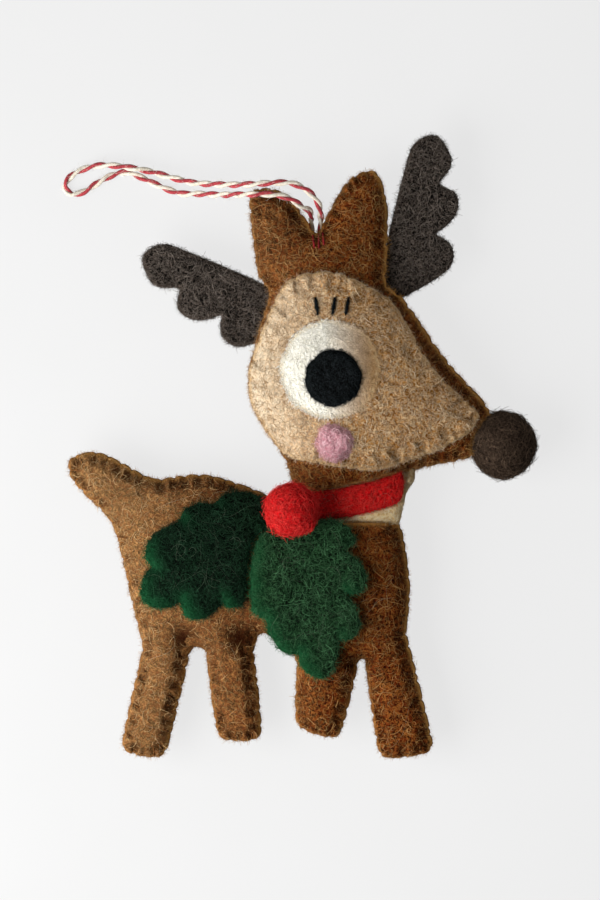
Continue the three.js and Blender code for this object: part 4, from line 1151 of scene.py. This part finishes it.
def smooth_route(points, step):
    """An even walk along a smooth curve through points.

    Each point is passed at the sum of the square roots of the gaps so far, and three rounds of straight mixes of
    neighbours, by that measure, give the curve between two points.
    """
    points = np.vstack([2 * points[0] - points[1], points, 2 * points[-1] - points[-2]])
    knots = np.concatenate([[0], np.cumsum(np.sqrt(np.linalg.norm(np.diff(points, axis=0), axis=1)))])
    p = [points[i:len(points) - 3 + i, None] for i in range(4)]
    k = [knots[i:len(knots) - 3 + i, None, None] for i in range(4)]
    t = k[1] + (k[2] - k[1]) * np.linspace(0, 1, 24)[None, :, None]

    def mix(a, b, ka, kb):
        return a * (kb - t) / (kb - ka) + b * (t - ka) / (kb - ka)

    a = [mix(p[i], p[i + 1], k[i], k[i + 1]) for i in range(3)]
    b = [mix(a[i], a[i + 1], k[i], k[i + 2]) for i in range(2)]
    curve = mix(b[0], b[1], k[1], k[2]).reshape(-1, 3)
    along = np.concatenate([[0], np.cumsum(np.linalg.norm(np.diff(curve, axis=0), axis=1))])
    stations = np.linspace(0, along[-1], int(along[-1] / step) + 1)
    return np.column_stack([np.interp(stations, along, axis) for axis in curve.T]), along[-1]


ends = [np.array([notch[0] + side * STRAND_APART / 2, notch[1] + TWINE_EXIT + LOOP_START_GAP, seam_height])
        for side in (1, -1)]
lifted = table_height + (ear_height - table_height) * LOOP_PLAN[:, 2]
middle = np.column_stack([notch + LOOP_PLAN[:, :2] * MM, lifted])
route, route_length = smooth_route(np.vstack([ends[0], middle, ends[1]]), ROUTE_STEP)
print("twine length, mm:", round(route_length / MM, 1))

# %% Plies
LAY_LENGTH = 6.5 * MM  # along the twine in one turn of its plies
PLY_APART, PLY_RADIUS = 0.33 * MM, 0.37 * MM


def twisted(route, length, apart, radius, sides=10):
    """Two plies round a route: each ply's line circles the route once a lay, half a turn from the other."""
    along = np.gradient(route, axis=0)
    along /= np.linalg.norm(along, axis=1, keepdims=True)
    across = np.cross(along, (0, 0, 1.0))
    across /= np.linalg.norm(across, axis=1, keepdims=True)
    other = np.cross(across, along)
    turn = 2 * np.pi * np.linspace(0, length, len(route)) / LAY_LENGTH
    phase = turn[None] + np.array([0, np.pi])[:, None]
    lines = route[None] + apart * (across * np.cos(phase)[..., None] + other * np.sin(phase)[..., None])
    return tubes(lines, np.full(lines.shape[:2], radius), sides)


def twine_finish():
    """Cotton plies: red or cream by the ply's number, with fine streaks of fibre."""
    g = Graph("twine_cotton")
    fibres = g.noise(g.place, 2200.0, 2.0, 1.0)
    red = g.ramp(fibres, (0.3, srgb("#8e1f29")), (0.7, srgb("#c4434a")))
    cream = g.ramp(fibres, (0.3, srgb("#d3c6ae")), (0.7, srgb("#f6f0e2")))
    g.surface(Base_Color=g.blend(g.value("ply"), red, cream), Normal=g.bump(fibres, 0.5, 0.1 * MM), Roughness=0.9,
              Sheen_Weight=0.2)
    return g.material


# %% Twine
twine_cotton = twine_finish()


def twine_piece(name, route, length):
    """A stretch of twine as one mesh, with the ply's number on each point."""
    points, faces = twisted(route, length, PLY_APART, PLY_RADIUS)
    piece = new_piece(name, points, faces, twine_cotton)
    set_values(piece, "ply", np.repeat([0.0, 1.0], len(points) // 2))
    print(f"{name}: {length / LAY_LENGTH:.1f} turns")
    return piece, points, faces


twine, points, faces = twine_piece("twine_loop", route, route_length)
settle(twine, "loop", "hanging_loop")
twine_wool = wool("twine_wool", points, faces, 900, hair["cream"], length=1.4 * MM, radius=0.022 * MM, seed=61)
settle(twine_wool, "loop")

# %% Twine ends in the seam
STUB_START = 1.6 * MM  # from the foot of the knot
for number, end in enumerate(ends):
    inner = np.array([end[0], knot_low[1] + STUB_START, seam_height])
    stub_route, stub_length = smooth_route(np.linspace(inner, end, 5), ROUTE_STEP)
    stub, _, _ = twine_piece(f"twine_end_{number + 1}", stub_route, stub_length)
    settle(stub)
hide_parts("loop_knot")

# %% Stitches in the notch
NOTCH_STITCHES = np.array([(-0.7, 0.4, -0.3, -2.6), (0.5, 0.5, 0.6, -3.0), (1.3, 0.8, 1.6, -2.0)]) * MM
NOTCH_THREAD = 0.2 * MM
share = np.linspace(0, 1, 7)[None, :, None]
plan = notch + NOTCH_STITCHES[:, None, :2] * (1 - share) + NOTCH_STITCHES[:, None, 2:] * share
height = near_height(head, plan.reshape(-1, 2)).reshape(plan.shape[:2])
height = height + 0.12 * MM - 0.5 * MM * (np.abs(share[..., 0] - 0.5) > 0.45)
lines = np.concatenate([plan, height[..., None]], axis=2)
points, faces = tubes(lines, np.full(lines.shape[:2], NOTCH_THREAD), 6)
red_thread = thread_finish("red_thread", "#5c0d10", "#a8282c")
settle(new_piece("loop_stitches", points, faces, red_thread))
print("stitches in the notch:", len(lines))

# %% [markdown]
# ## Table, light and camera
# The ornament lies on a plain pale table and is seen from straight above through a long lens. One lamp overhead would
# flatten it, so a soft lamp stands low at the left, where the stuffed forms turn from light to shade. A weak second
# lamp at the upper right catches the rims, and an even sky fills the shadows.

# %% Floor
FLOOR_SIZE = 3.0
FLOOR_DROP = 0.03 * MM  # keeps the table clear of the felt that lies on it
PAPER_GLOW = 0.75  # share of the table's look that is an even glow


def floor_finish():
    """Pale paper. Part of what the camera sees is an even glow, so that it stays pale where the lamp falls off."""
    g = Graph("table_paper")
    grain = g.noise(g.place, 40.0, 2.0)
    g.surface(Base_Color=g.ramp(grain, (0.3, srgb("#b6b6b5")), (0.7, srgb("#bababa"))), Roughness=0.9,
              Specular_IOR_Level=0.1)
    path = g.add("ShaderNodeLightPath").outputs
    mirrored = g.math("MAXIMUM", path["Is Glossy Ray"], path["Is Transmission Ray"])
    seen = g.math("MAXIMUM", path["Is Camera Ray"], mirrored)
    glow = g.add("ShaderNodeEmission", {"Color": srgb("#ffffff"), "Strength": 1.0}).outputs[0]
    mix = g.add("ShaderNodeMixShader", {0: g.math("MULTIPLY", seen, PAPER_GLOW), 1: g.shader.outputs[0], 2: glow})
    g.tree.links.new(mix.outputs[0], g.tree.nodes["Material Output"].inputs["Surface"])
    return g.material


half = FLOOR_SIZE / 2
corners = np.array([[-half, -half, 0], [half, -half, 0], [half, half, 0], [-half, half, 0]]) - [0, 0, FLOOR_DROP]
floor = new_piece("table", corners, np.array([[0, 1, 2, 3]]), floor_finish())
print("table, m:", FLOOR_SIZE, "square")

# %% Light
SKY = 0.13
world = bpy.data.worlds.new("studio")
world.use_nodes = True
world.node_tree.nodes["Background"].inputs["Color"].default_value = (1, 1, 1, 1)
world.node_tree.nodes["Background"].inputs["Strength"].default_value = SKY
bpy.context.scene.world = world


def lamp(name, place, target, size, power):
    """A square area lamp at a place, facing a target."""
    light = bpy.data.lights.new(name, "AREA")
    light.size, light.energy = size, power
    lamp_object = bpy.data.objects.new(name, light)
    lamp_object.location = place
    lamp_object.rotation_euler = (Vector(target) - Vector(place)).to_track_quat("-Z", "Y").to_euler()
    bpy.context.scene.collection.objects.link(lamp_object)
    print(f"{name} lamp: {power} W, {size} m wide")


lamp("window", (-0.19, -0.08, 0.16), (0, 0, 0), 0.26, 1.35)
lamp("rim", (0.36, 0.33, 0.1), (0, 0, 0.008), 0.14, 0.44)

# %% Camera
PHOTO_HEIGHT = 900  # pixels
SCALE = 0.2 * MM  # to a pixel, at the height of the seam
SENSOR = 24.0
DISTANCE = 1.1
VIEW_MIDDLE = (-0.44 * MM, -0.69 * MM)
camera_data = bpy.data.cameras.new("camera")
camera = bpy.data.objects.new("camera", camera_data)
bpy.context.scene.collection.objects.link(camera)
camera_data.sensor_fit = "VERTICAL"
camera_data.sensor_height = SENSOR
camera_data.lens = SENSOR * DISTANCE / (PHOTO_HEIGHT * SCALE)
camera.location = (*VIEW_MIDDLE, seam_height + DISTANCE)
bpy.context.scene.camera = camera
bpy.context.scene.view_settings.view_transform = "Standard"
print("lens, mm:", round(camera_data.lens, 1))
